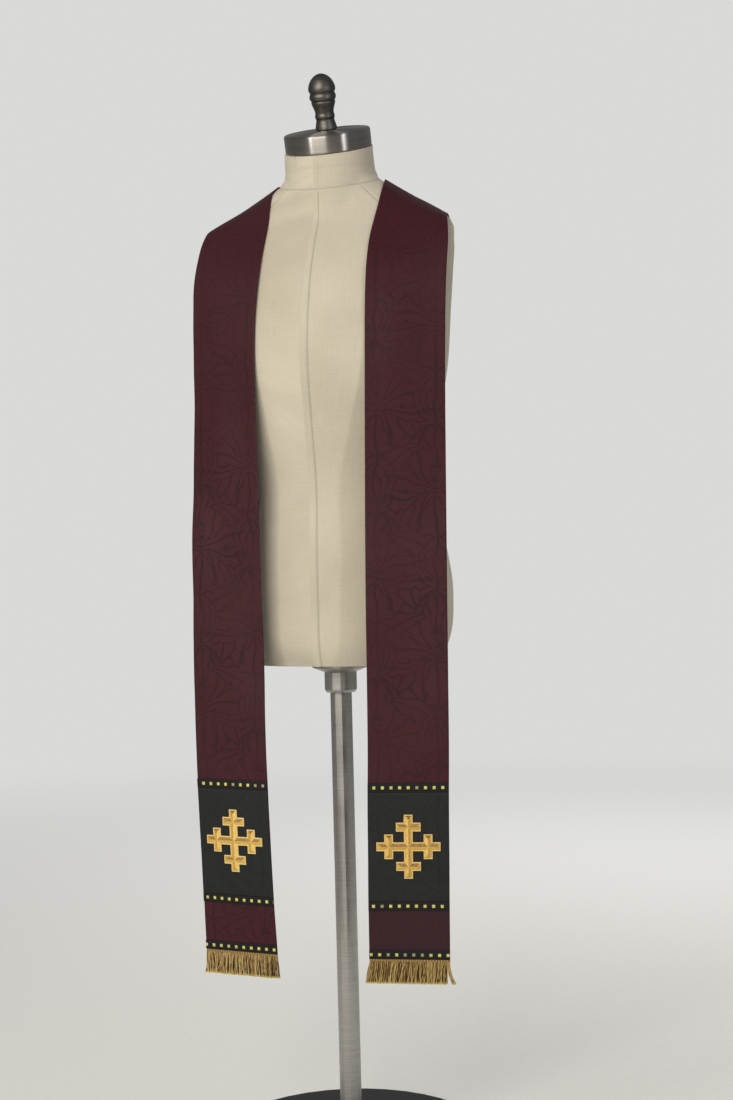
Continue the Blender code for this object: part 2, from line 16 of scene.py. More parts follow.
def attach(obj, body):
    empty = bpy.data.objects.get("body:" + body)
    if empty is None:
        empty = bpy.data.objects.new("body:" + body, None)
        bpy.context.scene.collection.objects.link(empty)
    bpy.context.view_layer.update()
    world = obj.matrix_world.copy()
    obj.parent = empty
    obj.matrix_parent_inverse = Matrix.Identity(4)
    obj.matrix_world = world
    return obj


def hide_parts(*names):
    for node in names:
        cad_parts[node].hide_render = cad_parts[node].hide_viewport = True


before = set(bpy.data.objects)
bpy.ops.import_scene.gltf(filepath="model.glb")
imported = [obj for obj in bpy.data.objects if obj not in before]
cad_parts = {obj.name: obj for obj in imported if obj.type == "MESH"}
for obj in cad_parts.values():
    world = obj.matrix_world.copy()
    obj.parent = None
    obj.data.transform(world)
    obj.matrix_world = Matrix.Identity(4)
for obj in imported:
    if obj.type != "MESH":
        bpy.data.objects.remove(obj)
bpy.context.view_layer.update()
MM = 0.001

# ------------------------------------------------------------------------------------------------ room
# A plain pale floor under a pale, even sky. A large soft lamp stands high in front, and weaker ones at the
# side and behind lift the edges. Two tall strips draw the bright lines down the metal. The camera stands
# in front at waist height.


def linear(hex_colour):
    """An sRGB hex colour as linear red, green and blue, with a full alpha."""
    parts = [int(hex_colour[k : k + 2], 16) / 255 for k in (0, 2, 4)]
    return (*[p / 12.92 if p <= 0.04045 else ((p + 0.055) / 1.055) ** 2.4 for p in parts], 1.0)


def connect(tree, node, inputs):
    """Sets a node's inputs. Each is a value, a socket that feeds it, or a node whose first output does."""
    for key, value in inputs.items():
        if isinstance(value, bpy.types.Node):
            value = value.outputs[0]
        if isinstance(value, bpy.types.NodeSocket):
            tree.links.new(value, node.inputs[key])
        else:
            node.inputs[key].default_value = value


def add(tree, kind, inputs=None, ramp=None, **settings):
    """Adds a node with its settings, its inputs and, for a colour ramp, its hex colours by position.

    Inputs go by name or number: a MapRange reads from 1 to 2 and gives 3 to 4, and a MixRGB lays 2 over 1
    by the share 0.
    """
    made = tree.nodes.new("ShaderNode" + kind)
    for name, value in settings.items():
        setattr(made, name, value)
    connect(tree, made, inputs or {})
    if ramp:
        stops = made.color_ramp.elements
        for position in list(ramp)[1:-1]:
            stops.new(position)
        for stop, (position, colour) in zip(stops, ramp.items()):
            stop.position = position
            stop.color = linear(colour)
    return made


def start_material(name, **values):
    """A new material, its node tree and its shader, whose own values are set by their names."""
    made = bpy.data.materials.new(name)
    made.use_nodes = True
    shader = made.node_tree.nodes["Principled BSDF"]
    for key, value in values.items():
        shader.inputs[key.replace("_", " ")].default_value = value
    return made, made.node_tree, shader


def link_object(name, data):
    """Adds an object with this data to the scene."""
    made = bpy.data.objects.new(name, data)
    bpy.context.scene.collection.objects.link(made)
    return made


FLOOR_REACH = 9.0
FLOOR_FADE = (0.4, 4.4)  # the floor melts into the sky between these distances from the stand
floor_mesh = bpy.data.meshes.new("floor")
corners = [(x * FLOOR_REACH, y * FLOOR_REACH, 0) for x, y in ((-1, -1), (1, -1), (1, 1), (-1, 1))]
floor_mesh.from_pydata(corners, [], [(0, 1, 2, 3)])
floor = link_object("floor", floor_mesh)
painted_floor, tree, shader = start_material("painted_floor", Roughness=0.95, Specular_IOR_Level=0.08)
# Matt floor paint: nearly white, with a faint mottle about 20 mm across.
place = add(tree, "TexCoord").outputs["Object"]
mottle = add(tree, "TexNoise", {"Vector": place, "Scale": 60.0, "Detail": 4.0})
tint = add(tree, "ValToRGB", {0: mottle}, ramp={0.0: "eeede9", 1.0: "f4f3ef"})
reach = add(tree, "VectorMath", {0: place}, operation="LENGTH").outputs["Value"]
fade = {0: reach, 1: FLOOR_FADE[0], 2: FLOOR_FADE[1], 3: 1.0, 4: 0.0}
solid = add(tree, "MapRange", fade, interpolation_type="SMOOTHSTEP")
connect(tree, shader, {"Base Color": tint, "Alpha": solid})
floor_mesh.materials.append(painted_floor)

# What a lamp lights that would mark the floor with a bright pool: everything but the floor.
screened = bpy.data.collections.new("screened_floor")
screened.objects.link(floor)
screened.collection_objects[0].light_linking.link_state = "EXCLUDE"

# is_mirrored says whether polished metal shows the lamp's reflection, and lights_floor whether the lamp
# lights the floor as well as the object.
Lamp = namedtuple("Lamp", "name place target width height watts colour is_mirrored lights_floor")
LAMPS = [
    Lamp("key_lamp", (-0.75, -3.35, 2.2), (0.0, 0.0, 1.0), 2.7, 2.0, 107.0, "fff9f0", True, True),
    Lamp("side_lamp", (-3.1, -1.0, 1.7), (0.0, 0.0, 0.9), 2.0, 2.2, 12.0, "ffffff", False, False),
    Lamp("left_strip_lamp", (-1.65, -2.85, 1.5), (0.0, 0.0, 0.9), 0.14, 2.2, 9.0, "fffaf4", True, False),
    Lamp("right_strip_lamp", (2.8, -1.8, 1.5), (0.0, 0.0, 0.9), 0.24, 2.2, 26.0, "f8f8ff", True, False),
    Lamp("back_lamp", (0.5, 3.1, 2.3), (0.0, 0.0, 1.0), 2.2, 1.8, 68.0, "ffffff", False, True),
]
for lamp in LAMPS:
    data = bpy.data.lights.new(lamp.name, "AREA")
    data.shape = "RECTANGLE"
    data.size, data.size_y = lamp.width, lamp.height
    data.energy = lamp.watts
    data.color = linear(lamp.colour)[:3]
    hung = link_object(lamp.name, data)
    hung.visible_camera = False
    hung.visible_glossy = lamp.is_mirrored
    if not lamp.lights_floor:
        hung.light_linking.receiver_collection = screened
    hung.location = lamp.place
    hung.rotation_euler = (Vector(lamp.target) - Vector(lamp.place)).to_track_quat("-Z", "Y").to_euler()

# The sky looks pale and even, and lights the room with less than it shows, so that the lamps shape things.
SKY_SHOWN, SKY_LIGHT = 0.77, 0.23
world = bpy.data.worlds.new("pale_sky")
world.use_nodes = True
bpy.context.scene.world = world
sky = world.node_tree.nodes["Background"]
shown = add(world.node_tree, "LightPath").outputs["Is Camera Ray"]
strength = add(world.node_tree, "MapRange", {0: shown, 3: SKY_LIGHT, 4: SKY_SHOWN})
connect(world.node_tree, sky, {"Color": linear("f4f4f2"), "Strength": strength})
bpy.context.scene.view_settings.view_transform = "Standard"

CAMERA_PLACE = (0.6520, -2.2665, 0.9216)
CAMERA_AZIMUTH, CAMERA_PITCH, CAMERA_ROLL = 15.0, -0.53, -1.40  # degrees
CAMERA_LENS, SENSOR_WIDTH = 51.77, 36.0  # millimetres
camera = link_object("camera", bpy.data.cameras.new("camera"))
camera.data.sensor_width = SENSOR_WIDTH
camera.data.lens = CAMERA_LENS
turn = Matrix.Rotation(math.radians(CAMERA_AZIMUTH), 4, "Z")
turn = turn @ Matrix.Rotation(math.radians(90 + CAMERA_PITCH), 4, "X")
turn = turn @ Matrix.Rotation(math.radians(CAMERA_ROLL), 4, "Z")
camera.matrix_world = Matrix.Translation(CAMERA_PLACE) @ turn
bpy.context.scene.camera = camera

# ----------------------------------------------------------------------------------------------- stand
# A heavy round foot of cast iron, stoved in black, with a steel tube screwed into it and a pressed steel
# collar that the form sits on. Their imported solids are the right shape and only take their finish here.

stoved_iron, tree, shader = start_material("stoved_iron", IOR=1.5)
# Stoved enamel over a casting: near black, half gloss, with an orange-peel skin of about 3 mm.
place = add(tree, "TexCoord").outputs["Object"]
peel = add(tree, "TexNoise", {"Vector": place, "Scale": 330.0, "Detail": 2.0})
cloud = add(tree, "TexNoise", {"Vector": place, "Scale": 14.0, "Detail": 3.0})
tint = add(tree, "ValToRGB", {0: cloud}, ramp={0.0: "161617", 1.0: "222324"})
gloss = add(tree, "MapRange", {0: cloud, 3: 0.36, 4: 0.52})
skin = add(tree, "Bump", {"Height": peel, "Strength": 0.12, "Distance": 0.4 * MM})
connect(tree, shader, {"Base Color": tint, "Roughness": gloss, "Normal": skin})
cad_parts["stand_base"].material_slots[0].material = stoved_iron

brushed_steel, tree, shader = start_material("brushed_steel", Metallic=1.0)
# Steel brushed round the turned piece: fine rings about 0.6 mm apart, drawn at 2 mm so that they show.
place = add(tree, "TexCoord").outputs["Object"]
stretched = add(tree, "Mapping", {"Vector": place, "Scale": (18.0, 18.0, 500.0)})
rings = add(tree, "TexNoise", {"Vector": stretched, "Scale": 1.0, "Detail": 3.0, "Roughness": 0.6})
smudge = add(tree, "TexNoise", {"Vector": place, "Scale": 22.0, "Detail": 3.0})
tint = add(tree, "ValToRGB", {0: rings}, ramp={0.0: "9a9894", 1.0: "c9c7c2"})
gloss = add(tree, "MapRange", {0: smudge, 1: 0.3, 2: 0.7, 3: 0.34, 4: 0.48})
skin = add(tree, "Bump", {"Height": rings, "Strength": 0.10, "Distance": 0.2 * MM})
connect(tree, shader, {"Base Color": tint, "Roughness": gloss, "Normal": skin})
for node_name in ("stand_pole", "stand_collar"):
    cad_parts[node_name].material_slots[0].material = brushed_steel

# ----------------------------------------------------------------------------------------------- torso
# A moulded shell without limbs, covered in unbleached linen cut in eight long panels and one for the neck.
# The cover is sewn up wrong side out and pulled on tight, so each seam is a narrow sunken line.

FORM_FLOOR = 0.735
YOKE_TOP, NECK_ROOT = 1.380, 1.4545
FORM_EDGE = 6 * MM  # height of the turned-in edge at the form's underside
NECK_TILT = 20.0  # degrees, the neck and its cap lean forward
CAP_CENTRE = (0.0, 0.0062, 1.4980)  # middle of the cap's underside
NECK_TOP_RADIUS = 66 * MM
NECK_TOP_FORWARD = 1.5 * MM  # of the cap's middle
GAP = 0.3 * MM  # between pieces that touch

# Level sections of the torso: half width, and the depths of its front, widest line and back.
# squareness 2 is an ellipse, and less draws the section in towards the shoulder line.
FormSection = namedtuple("FormSection", "name height half_width front side back squareness")
FORM_SECTIONS = [
    FormSection("floor", FORM_FLOOR, 0.1480, -0.0960, 0.005, 0.1080, 2.20),
    FormSection("seat", 0.7500, 0.1570, -0.1020, 0.005, 0.1160, 2.20),
    FormSection("hip", 0.8300, 0.1710, -0.1070, 0.005, 0.1240, 2.20),
    FormSection("belly", 0.9100, 0.1620, -0.1060, 0.002, 0.1090, 2.20),
    FormSection("waist", 0.9900, 0.1440, -0.1010, 0.000, 0.0920, 2.20),
    FormSection("ribs", 1.0800, 0.1560, -0.1160, 0.000, 0.0990, 2.20),
    FormSection("chest", 1.1700, 0.1720, -0.1300, 0.000, 0.1130, 2.20),
    FormSection("armpit", 1.2550, 0.1790, -0.1180, 0.000, 0.1210, 2.15),
    FormSection("yoke", 1.3100, 0.1840, -0.0980, 0.000, 0.1200, 2.05),
    FormSection("blade", 1.3500, 0.1870, -0.0765, 0.001, 0.1150, 1.95),
    FormSection("shoulder", 1.3835, 0.1800, -0.0560, 0.004, 0.1070, 1.85),
    FormSection("slope", 1.4025, 0.1520, -0.0490, 0.008, 0.1020, 1.80),
    FormSection("trapeze", 1.4225, 0.1175, -0.0450, 0.013, 0.0965, 1.80),
    FormSection("neck", 1.4445, 0.0820, -0.0455, 0.019, 0.0890, 1.90),
    FormSection("throat", NECK_ROOT, 0.0710, -0.0475, 0.018, 0.0840, 2.00),
]
# Rings of the neck above the torso: middle, radius and forward tilt in degrees.
NeckRing = namedtuple("NeckRing", "name depth height radius tilt")
tilt_sine, tilt_cosine = math.sin(math.radians(NECK_TILT)), math.cos(math.radians(NECK_TILT))
NECK_RINGS = [
    NeckRing("root", 0.0110, 1.4655, 0.0672, 8.0),
    NeckRing("stem", 0.0070, 1.4800, 0.0665, 15.0),
    NeckRing(
        "top",
        CAP_CENTRE[1] + GAP * tilt_sine - NECK_TOP_FORWARD * tilt_cosine,
        CAP_CENTRE[2] - GAP * tilt_cosine - NECK_TOP_FORWARD * tilt_sine,
        NECK_TOP_RADIUS,
        NECK_TILT,
    ),
]
# Seams run up the form at these angles round every section, with 0 at the wearer's left.
SEAM_ANGLES = [-90, -52, 0, 55, 90, 125, 180, 232]
# Across a seam: distance from its line, and how far the cover lies above the plain skin there.
SEAM_ACROSS = [(-7.0, 0.0), (-3.4, 0.15), (-1.3, 0.05), (0.0, -0.75), (1.3, 0.05), (3.4, 0.15), (7.0, 0.0)]
COLUMNS_BETWEEN_SEAMS = 11
FAR_FROM_SEAM = 20.0  # millimetres, for the parts of the cover that no seam marks
ROW_PITCH, YOKE_PITCH = 9 * MM, 2.5 * MM  # of the torso's rows, below the yoke and above it
# The neck goes on down into the chest as an upright column, which the cover eases over in front.
COLUMN_DEPTH, COLUMN_RADIUS, COLUMN_EASE = 0.0115, 0.0670, 3 * MM
ROWS_TO_NECK = 7  # between the throat and the neck's first ring
# The neck's panel is sewn to the others at this height in the middle of the form, lower in front.
NECK_SEAM_HEIGHT, NECK_SEAM_SLOPE = 1.4465, 0.35
NECK_SEAM_DEPTH, NECK_SEAM_REACH = 0.6 * MM, 3.5 * MM
SEAMS_END = 4 * MM  # the upright seams fade out over this height below the neck's seam
FRONT_SEAM_LEFT = 0.35  # share of the front seam that goes on up the neck to the cap


def bump(x):
    """1 at 0, easing down to 0 at -1 and 1 and beyond."""
    return 0.5 + 0.5 * np.cos(np.pi * np.clip(x, -1, 1))


def smooth(knots, rows, at):
    """Cubic curve through table rows: rows[i] belongs to knots[i], and at is where it is read."""
    knots, rows, at = (np.asarray(a, float) for a in (knots, rows, at))
    tangents = np.gradient(rows, knots, axis=0)
    i = np.clip(np.searchsorted(knots, at) - 1, 0, len(knots) - 2)
    step = (knots[i + 1] - knots[i])[:, None]
    f = (np.clip(at, knots[0], knots[-1]) - knots[i])[:, None] / step
    ends = rows[i] * (1 + 2 * f) * (1 - f) ** 2 + rows[i + 1] * f * f * (3 - 2 * f)
    return ends + step * (tangents[i] * f * (1 - f) ** 2 - tangents[i + 1] * f * f * (1 - f))


def even(start, end, pitch):
    """Evenly spaced values from start to end, no further apart than pitch."""
    return np.linspace(start, end, max(2, math.ceil((end - start) / pitch - 1e-6) + 1))


def form_section(height):
    """half_width, front, side, back and squareness of the torso at each height."""
    return smooth([s.height for s in FORM_SECTIONS], [s[2:] for s in FORM_SECTIONS], height).T


def grid_normals(grid):
    """Unit normals of a grid of points, rows by columns."""
    normals = np.cross(np.gradient(grid, axis=0), np.gradient(grid, axis=1))
    return normals / np.maximum(np.linalg.norm(normals, axis=2, keepdims=True), 1e-12)


def grid_faces(rows, columns, closed_round=False):
    """Corner numbers of the faces of a grid whose points are numbered row by row."""
    across = columns if closed_round else columns - 1
    faces = []
    for r in range(rows - 1):
        for c in range(across):
            n = (c + 1) % columns
            faces.append((r * columns + c, r * columns + n, (r + 1) * columns + n, (r + 1) * columns + c))
    return faces


def make_piece(name, points, faces, finishes, attributes=None, sharp=40.0, face_finish=None):
    """Links a mesh to the scene as one piece, riding on the object's only body."""
    data = bpy.data.meshes.new(name)
    data.from_pydata(np.asarray(points).tolist(), [], faces)
    for finish in finishes:
        data.materials.append(finish)
    for key, values in (attributes or {}).items():
        values = np.asarray(values, np.float32)
        kind, field = ("FLOAT", "value") if values.ndim == 1 else ("FLOAT_VECTOR", "vector")
        data.attributes.new(key, kind, "POINT").data.foreach_set(field, values.ravel())
    if face_finish is not None:
        data.polygons.foreach_set("material_index", np.asarray(face_finish, np.int32))
    data.shade_smooth()
    data.set_sharp_from_angle(angle=math.radians(sharp))
    made = link_object(name, data)
    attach(made, "root")
    return made


torso_columns = []  # angle in radians, distance along the skin from that angle, and lift above the skin
for start, end in zip(SEAM_ANGLES, SEAM_ANGLES[1:] + [SEAM_ANGLES[0] + 360]):
    torso_columns += [(math.radians(start), across * MM, lift * MM) for across, lift in SEAM_ACROSS]
    plain_angles = np.linspace(start, end, COLUMNS_BETWEEN_SEAMS + 2)[1:-1]
    torso_columns += [(math.radians(angle), 0.0, 0.0) for angle in plain_angles]
angles, shifts, lifts = np.array(torso_columns).T

# The shell's rings, one at each height.
heights = [FORM_FLOOR, FORM_FLOOR + 2 * MM, *even(FORM_FLOOR + FORM_EDGE, YOKE_TOP, ROW_PITCH)]
heights = np.array([*heights, *even(YOKE_TOP, NECK_ROOT, YOKE_PITCH)[1:]])
torso_rings = []
for half_width, front, side, back, squareness in form_section(heights).T:
    radius = (half_width + (back - front) / 2) / 2
    turned_angles = angles + shifts / radius
    c, s = np.cos(turned_angles), np.sin(turned_angles)
    depth = np.where(s > 0, back - side, side - front)
    x = half_width * np.sign(c) * np.abs(c) ** (2 / squareness)
    torso_rings.append(np.stack([x, side + depth * np.sign(s) * np.abs(s) ** (2 / squareness)], 1))
torso_grid = np.concatenate([np.array(torso_rings), np.tile(heights[:, None, None], (1, len(angles), 1))], 2)
# The cover comes forward over the column wherever the column's front stands out of the shell.
across, deep = torso_grid[:, :, 0], torso_grid[:, :, 1]
column_reach = np.sqrt(np.clip(COLUMN_RADIUS**2 - across**2, 0, None))
over_column = (column_reach > 0) & (deep < COLUMN_DEPTH)
short = deep - (COLUMN_DEPTH - column_reach)  # how far the shell falls short of the column's front
eased_out = (short + np.sqrt(short**2 + COLUMN_EASE**2)) / 2
torso_grid[:, :, 1] -= np.where(over_column, eased_out, 0.0)
# The neck's leaning rings, and the rows that lead up to them from the throat.
neck_knots = [r.height for r in NECK_RINGS]
neck_heights = [*even(*neck_knots[:2], YOKE_PITCH), *even(*neck_knots[1:], YOKE_PITCH)[1:]]
neck_rings = []
for depth, height, radius, tilt in smooth(neck_knots, [r[1:] for r in NECK_RINGS], neck_heights):
    turned_angles = angles + shifts / radius
    x, y = radius * np.cos(turned_angles), radius * np.sin(turned_angles)
    tilt = math.radians(tilt)
    neck_rings.append(np.stack([x, depth + y * math.cos(tilt), height + y * math.sin(tilt)], 1))
shares = np.linspace(0, 1, ROWS_TO_NECK + 2)[1:-1, None, None]
rows_to_neck = torso_grid[-1] + (neck_rings[0] - torso_grid[-1]) * shares
torso_grid = np.concatenate([torso_grid, rows_to_neck, np.array(neck_rings)])
# The seams are sunk into the cover.
wrapped = np.concatenate([torso_grid[:, -1:], torso_grid, torso_grid[:, :1]], 1)
torso_normals = -grid_normals(wrapped)[:, 1:-1]
below_neck_seam = NECK_SEAM_HEIGHT + NECK_SEAM_SLOPE * torso_grid[:, :, 1] - torso_grid[:, :, 2]
seam_share = np.clip(below_neck_seam / SEAMS_END, 0, 1)
in_front = np.abs(angles - math.radians(SEAM_ANGLES[0])) < 1e-6
seam_share = np.maximum(seam_share, np.where(in_front, FRONT_SEAM_LEFT, 0.0)[None, :])
seam_depth = seam_share * lifts[None, :]
neck_groove = -NECK_SEAM_DEPTH * bump(below_neck_seam / NECK_SEAM_REACH)
torso_grid = torso_grid + torso_normals * (seam_depth + neck_groove)[:, :, None]
# The rings are joined, and the shell is closed at its underside and under the cap.
rows, columns = torso_grid.shape[:2]
torso_faces = [face[::-1] for face in grid_faces(rows, columns, closed_round=True)]
torso_faces += [tuple(range(columns)), tuple(range(rows * columns - 1, (rows - 1) * columns - 1, -1))]
# What the linen's colours and weave need: each point's place in the cloth, and its distance from a seam.
round_lengths = np.cumsum(np.linalg.norm(np.diff(wrapped, axis=1), axis=2), axis=1)[:, :-1]
torso_cut = np.stack([round_lengths, torso_grid[:, :, 2], np.zeros((rows, columns))], 2)
seam_distance = np.where(lifts < 0, 0.0, FAR_FROM_SEAM)
seam_distance = np.where(shifts == 0, seam_distance, np.abs(shifts) / MM)
seam_distance = np.where(seam_share > 0, seam_distance[None, :] + 1 - seam_share, FAR_FROM_SEAM)


def threads(tree, along, pitch):
    """The round backs of threads that lie side by side, 0 between two and 1 on top, in along's own unit."""
    turns = add(tree, "Math", {0: along, 1: math.pi / pitch}, operation="MULTIPLY")
    wave = add(tree, "Math", {0: turns}, operation="SINE")
    return add(tree, "Math", {0: wave}, operation="ABSOLUTE")


LINEN_PITCH = 1.6 * MM
linen, tree, shader = start_material(
    "unbleached_linen", Roughness=0.88, IOR=1.45, Sheen_Weight=0.15, Sheen_Roughness=0.6
)
# Plain-woven linen: a warm cream with slubs, the thick places in hand-spun yarn, and painted shade along its
# sunken seams. Its threads are 0.7 mm apart, drawn at 1.6 mm so that the weave shows.
cut = add(tree, "Attribute", attribute_name="cut").outputs["Vector"]
slubs_of = {}
for direction, scale in (("weft", (30.0, 620.0, 1.0)), ("warp", (620.0, 30.0, 1.0))):
    slub = add(tree, "Mapping", {"Vector": cut, "Scale": scale})
    slubs_of[direction] = add(tree, "TexNoise", {"Vector": slub, "Scale": 1.0, "Detail": 2.0})
axes = add(tree, "SeparateXYZ", {0: cut})
yarns = [threads(tree, axes.outputs[axis], LINEN_PITCH) for axis in "XY"]
weave = add(tree, "Math", {0: yarns[0], 1: yarns[1]}, operation="MULTIPLY")
slubs = add(tree, "Math", {0: slubs_of["weft"], 1: slubs_of["warp"]}, operation="ADD")
cloud = add(tree, "TexNoise", {"Vector": cut, "Scale": 5.0, "Detail": 4.0})
tone = add(tree, "MapRange", {0: slubs, 1: 0.7, 2: 1.3, 3: 0.25, 4: 0.75})
tone = add(tree, "Math", {0: tone, 1: 0.35, 2: cloud}, operation="MULTIPLY_ADD")
tint = add(tree, "ValToRGB", {0: tone}, ramp={0.45: "b2a995", 0.95: "c8c0ad"})
# Painted shade: the cloth is drawn darker within 1.4 mm of each seam and of the neck's seam, where the
# groove is sunk.
neck_seam = add(tree, "Attribute", attribute_name="below_neck_seam").outputs["Fac"]
neck_seam = add(tree, "Math", {0: neck_seam}, operation="ABSOLUTE")
seam = add(tree, "Attribute", attribute_name="seam_distance").outputs["Fac"]
seam = add(tree, "Math", {0: seam, 1: neck_seam}, operation="MINIMUM")
seam_shade = add(tree, "MapRange", {0: seam, 1: 0.0, 2: 1.4, 3: 0.72, 4: 1.0})
seam_shaded = add(tree, "MixRGB", {0: 1.0, 1: tint, 2: seam_shade}, blend_type="MULTIPLY")
height = add(tree, "Math", {0: weave, 1: slubs}, operation="ADD")
skin = add(tree, "Bump", {"Height": height, "Strength": 0.35, "Distance": 0.3 * MM})
connect(tree, shader, {"Base Color": seam_shaded, "Normal": skin})

torso = make_piece(
    "torso",
    torso_grid.reshape(-1, 3),
    torso_faces,
    [linen],
    {
        "cut": torso_cut.reshape(-1, 3),
        "seam_distance": seam_distance.ravel(),
        "below_neck_seam": below_neck_seam.ravel() / MM,
    },
)
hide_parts("form_torso")

# ---------------------------------------------------------------------------------- neck cap and finial
# A shallow cap of brushed steel covers the top of the neck, and a turned pewter finial is screwed into
# it. Both lean forward with the neck. Their profiles are eased at every corner, as a polished edge is.

# Radius and height above the piece's own underside in millimetres, ending on the axis.
CAP_PROFILE = [(0, 0), (63.1, 0), (64.6, 1.5), (64.6, 25), (62.6, 27), (36, 28.5), (0, 29)]
FINIAL_PROFILE = [
    (0, 0), (16.0, 0), (16.3, 1.9), (15.0, 7.5), (13.6, 13.1), (13.4, 15.4), (14.6, 17.3), (14.8, 20.6),
    (13.6, 23.4), (14.2, 28.0), (16.2, 33.7), (17.8, 38.3), (18.0, 40.2), (16.8, 41.3), (18.9, 43.0),
    (19.8, 46.7), (19.3, 50.5), (17.6, 52.8), (19.4, 54.7), (20.3, 58.0), (19.8, 61.7), (18.3, 66.4),
    (15.2, 72.0), (10.5, 76.7), (5.2, 79.5), (0, 80.4),
]


def eased(profile, longest):
    """The profile with each corner cut, by at most longest in millimetres and 0.3 of each side."""
    corners = [np.array(p, float) for p in profile]
    made = [corners[0]]
    for before, corner, after in zip(corners, corners[1:], corners[2:]):
        for other in (before, after):
            away = other - corner
            reach = np.linalg.norm(away)
            made.append(corner + away / reach * min(longest, 0.3 * reach))
    return [*made, corners[-1]]


def turned(name, profile, around, placed, finish, sharp=40.0):
    """A solid of revolution about Z from its profile in millimetres, moved by the matrix placed."""
    angles = np.arange(around) * (2 * math.pi / around)
    points, faces = [(0, 0, profile[0][1] * MM)], []
    for radius, height in profile[1:-1]:
        low = len(points) - around
        points += [(radius * MM * math.cos(a), radius * MM * math.sin(a), height * MM) for a in angles]
        for k in range(around):
            n = (k + 1) % around
            if low < 1:
                faces.append((0, low + around + n, low + around + k))
            else:
                faces.append((low + k, low + n, low + around + n, low + around + k))
    rim = len(points) - around
    points.append((0, 0, profile[-1][1] * MM))
    faces += [(rim + k, rim + (k + 1) % around, len(points) - 1) for k in range(around)]
    points, turn = np.array(points), np.array(placed.to_3x3()).T
    moved = points @ turn + np.array(placed.translation)
    round_axis = np.stack([-points[:, 1], points[:, 0], np.zeros(len(points))], 1)
    round_axis = round_axis / np.maximum(np.linalg.norm(round_axis, axis=1, keepdims=True), 1e-9)
    attributes = {"turned": points, "brushing": round_axis @ turn}
    return make_piece(name, moved, faces, [finish], attributes, sharp)


cap_steel, tree, shader = start_material(
    "cap_steel", Metallic=1.0, Anisotropic=1.0, Anisotropic_Rotation=0.25
)
# Stainless steel brushed round its rim: rings 0.3 mm apart, drawn at 1 mm, that stretch each highlight
# into a streak across them.
place = add(tree, "Attribute", attribute_name="turned").outputs["Vector"]
brushing = add(tree, "Attribute", attribute_name="brushing").outputs["Vector"]
stretched = add(tree, "Mapping", {"Vector": place, "Scale": (9.0, 9.0, 1000.0)})
rings = add(tree, "TexNoise", {"Vector": stretched, "Scale": 1.0, "Detail": 2.0})
smudge = add(tree, "TexNoise", {"Vector": place, "Scale": 30.0, "Detail": 3.0})
tint = add(tree, "ValToRGB", {0: rings}, ramp={0.0: "86837e", 1.0: "b2aea7"})
gloss = add(tree, "MapRange", {0: smudge, 1: 0.3, 2: 0.7, 3: 0.30, 4: 0.38})
skin = add(tree, "Bump", {"Height": rings, "Strength": 0.08, "Distance": 0.1 * MM})
connect(tree, shader, {"Base Color": tint, "Roughness": gloss, "Normal": skin, "Tangent": brushing})

pewter, tree, shader = start_material("cast_pewter", Metallic=1.0)
# Cast pewter, dark with age and polished only where hands wear it: dull in the grooves, soft lights on
# the beads, and a faint grain from the mould.
place = add(tree, "Attribute", attribute_name="turned").outputs["Vector"]
grain = add(tree, "TexNoise", {"Vector": place, "Scale": 420.0, "Detail": 3.0})
patina = add(tree, "TexNoise", {"Vector": place, "Scale": 75.0, "Detail": 4.0, "Roughness": 0.6})
worn = add(tree, "NewGeometry").outputs["Pointiness"]
worn = add(tree, "MapRange", {0: worn, 1: 0.46, 2: 0.56, 3: 0.0, 4: 0.6})
shade = add(tree, "Math", {0: patina, 1: worn}, operation="ADD")
tint = add(tree, "ValToRGB", {0: shade}, ramp={0.35: "343230", 1.0: "6c6964"})
gloss = add(tree, "MapRange", {0: shade, 1: 0.4, 2: 1.0, 3: 0.56, 4: 0.42})
skin = add(tree, "Bump", {"Height": grain, "Strength": 0.2, "Distance": 0.2 * MM})
connect(tree, shader, {"Base Color": tint, "Roughness": gloss, "Normal": skin})

cap_place = Matrix.Translation(CAP_CENTRE) @ Matrix.Rotation(math.radians(NECK_TILT), 4, "X")
cap_profile = eased(eased(CAP_PROFILE, 0.9), 0.4)
neck_cap = turned("cap", cap_profile, 96, cap_place, cap_steel, sharp=30.0)
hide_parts("neck_cap")
rise = Matrix.Translation((0, 0, CAP_PROFILE[-1][1] * MM + GAP))
finial_profile = eased(eased(FINIAL_PROFILE, 1.2), 0.6)
knob = turned("knob", finial_profile, 64, cap_place @ rise, pewter, sharp=50.0)
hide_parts("finial")

# ------------------------------------------------------------------------------------ bands of the stole
# Two long bands of burgundy silk damask over a stiff interlining, lined at the back and joined in a seam
# at the nape. The damask is folded over the interlining at both edges, so each edge is a soft round roll.

BAND_WIDTH = 114 * MM
BAND_WALL = 2.0 * MM  # damask, interlining and lining together
FORM_CLEARANCE = 1.0 * MM  # between the lining and the form where the band rests
MID_BRAID_ABOVE_HEM = 75.9 * MM
TOP_BRAID_ABOVE_HEM = 242.2 * MM
SIDES = {"left": 1.0, "right": -1.0}  # sign of the side's x

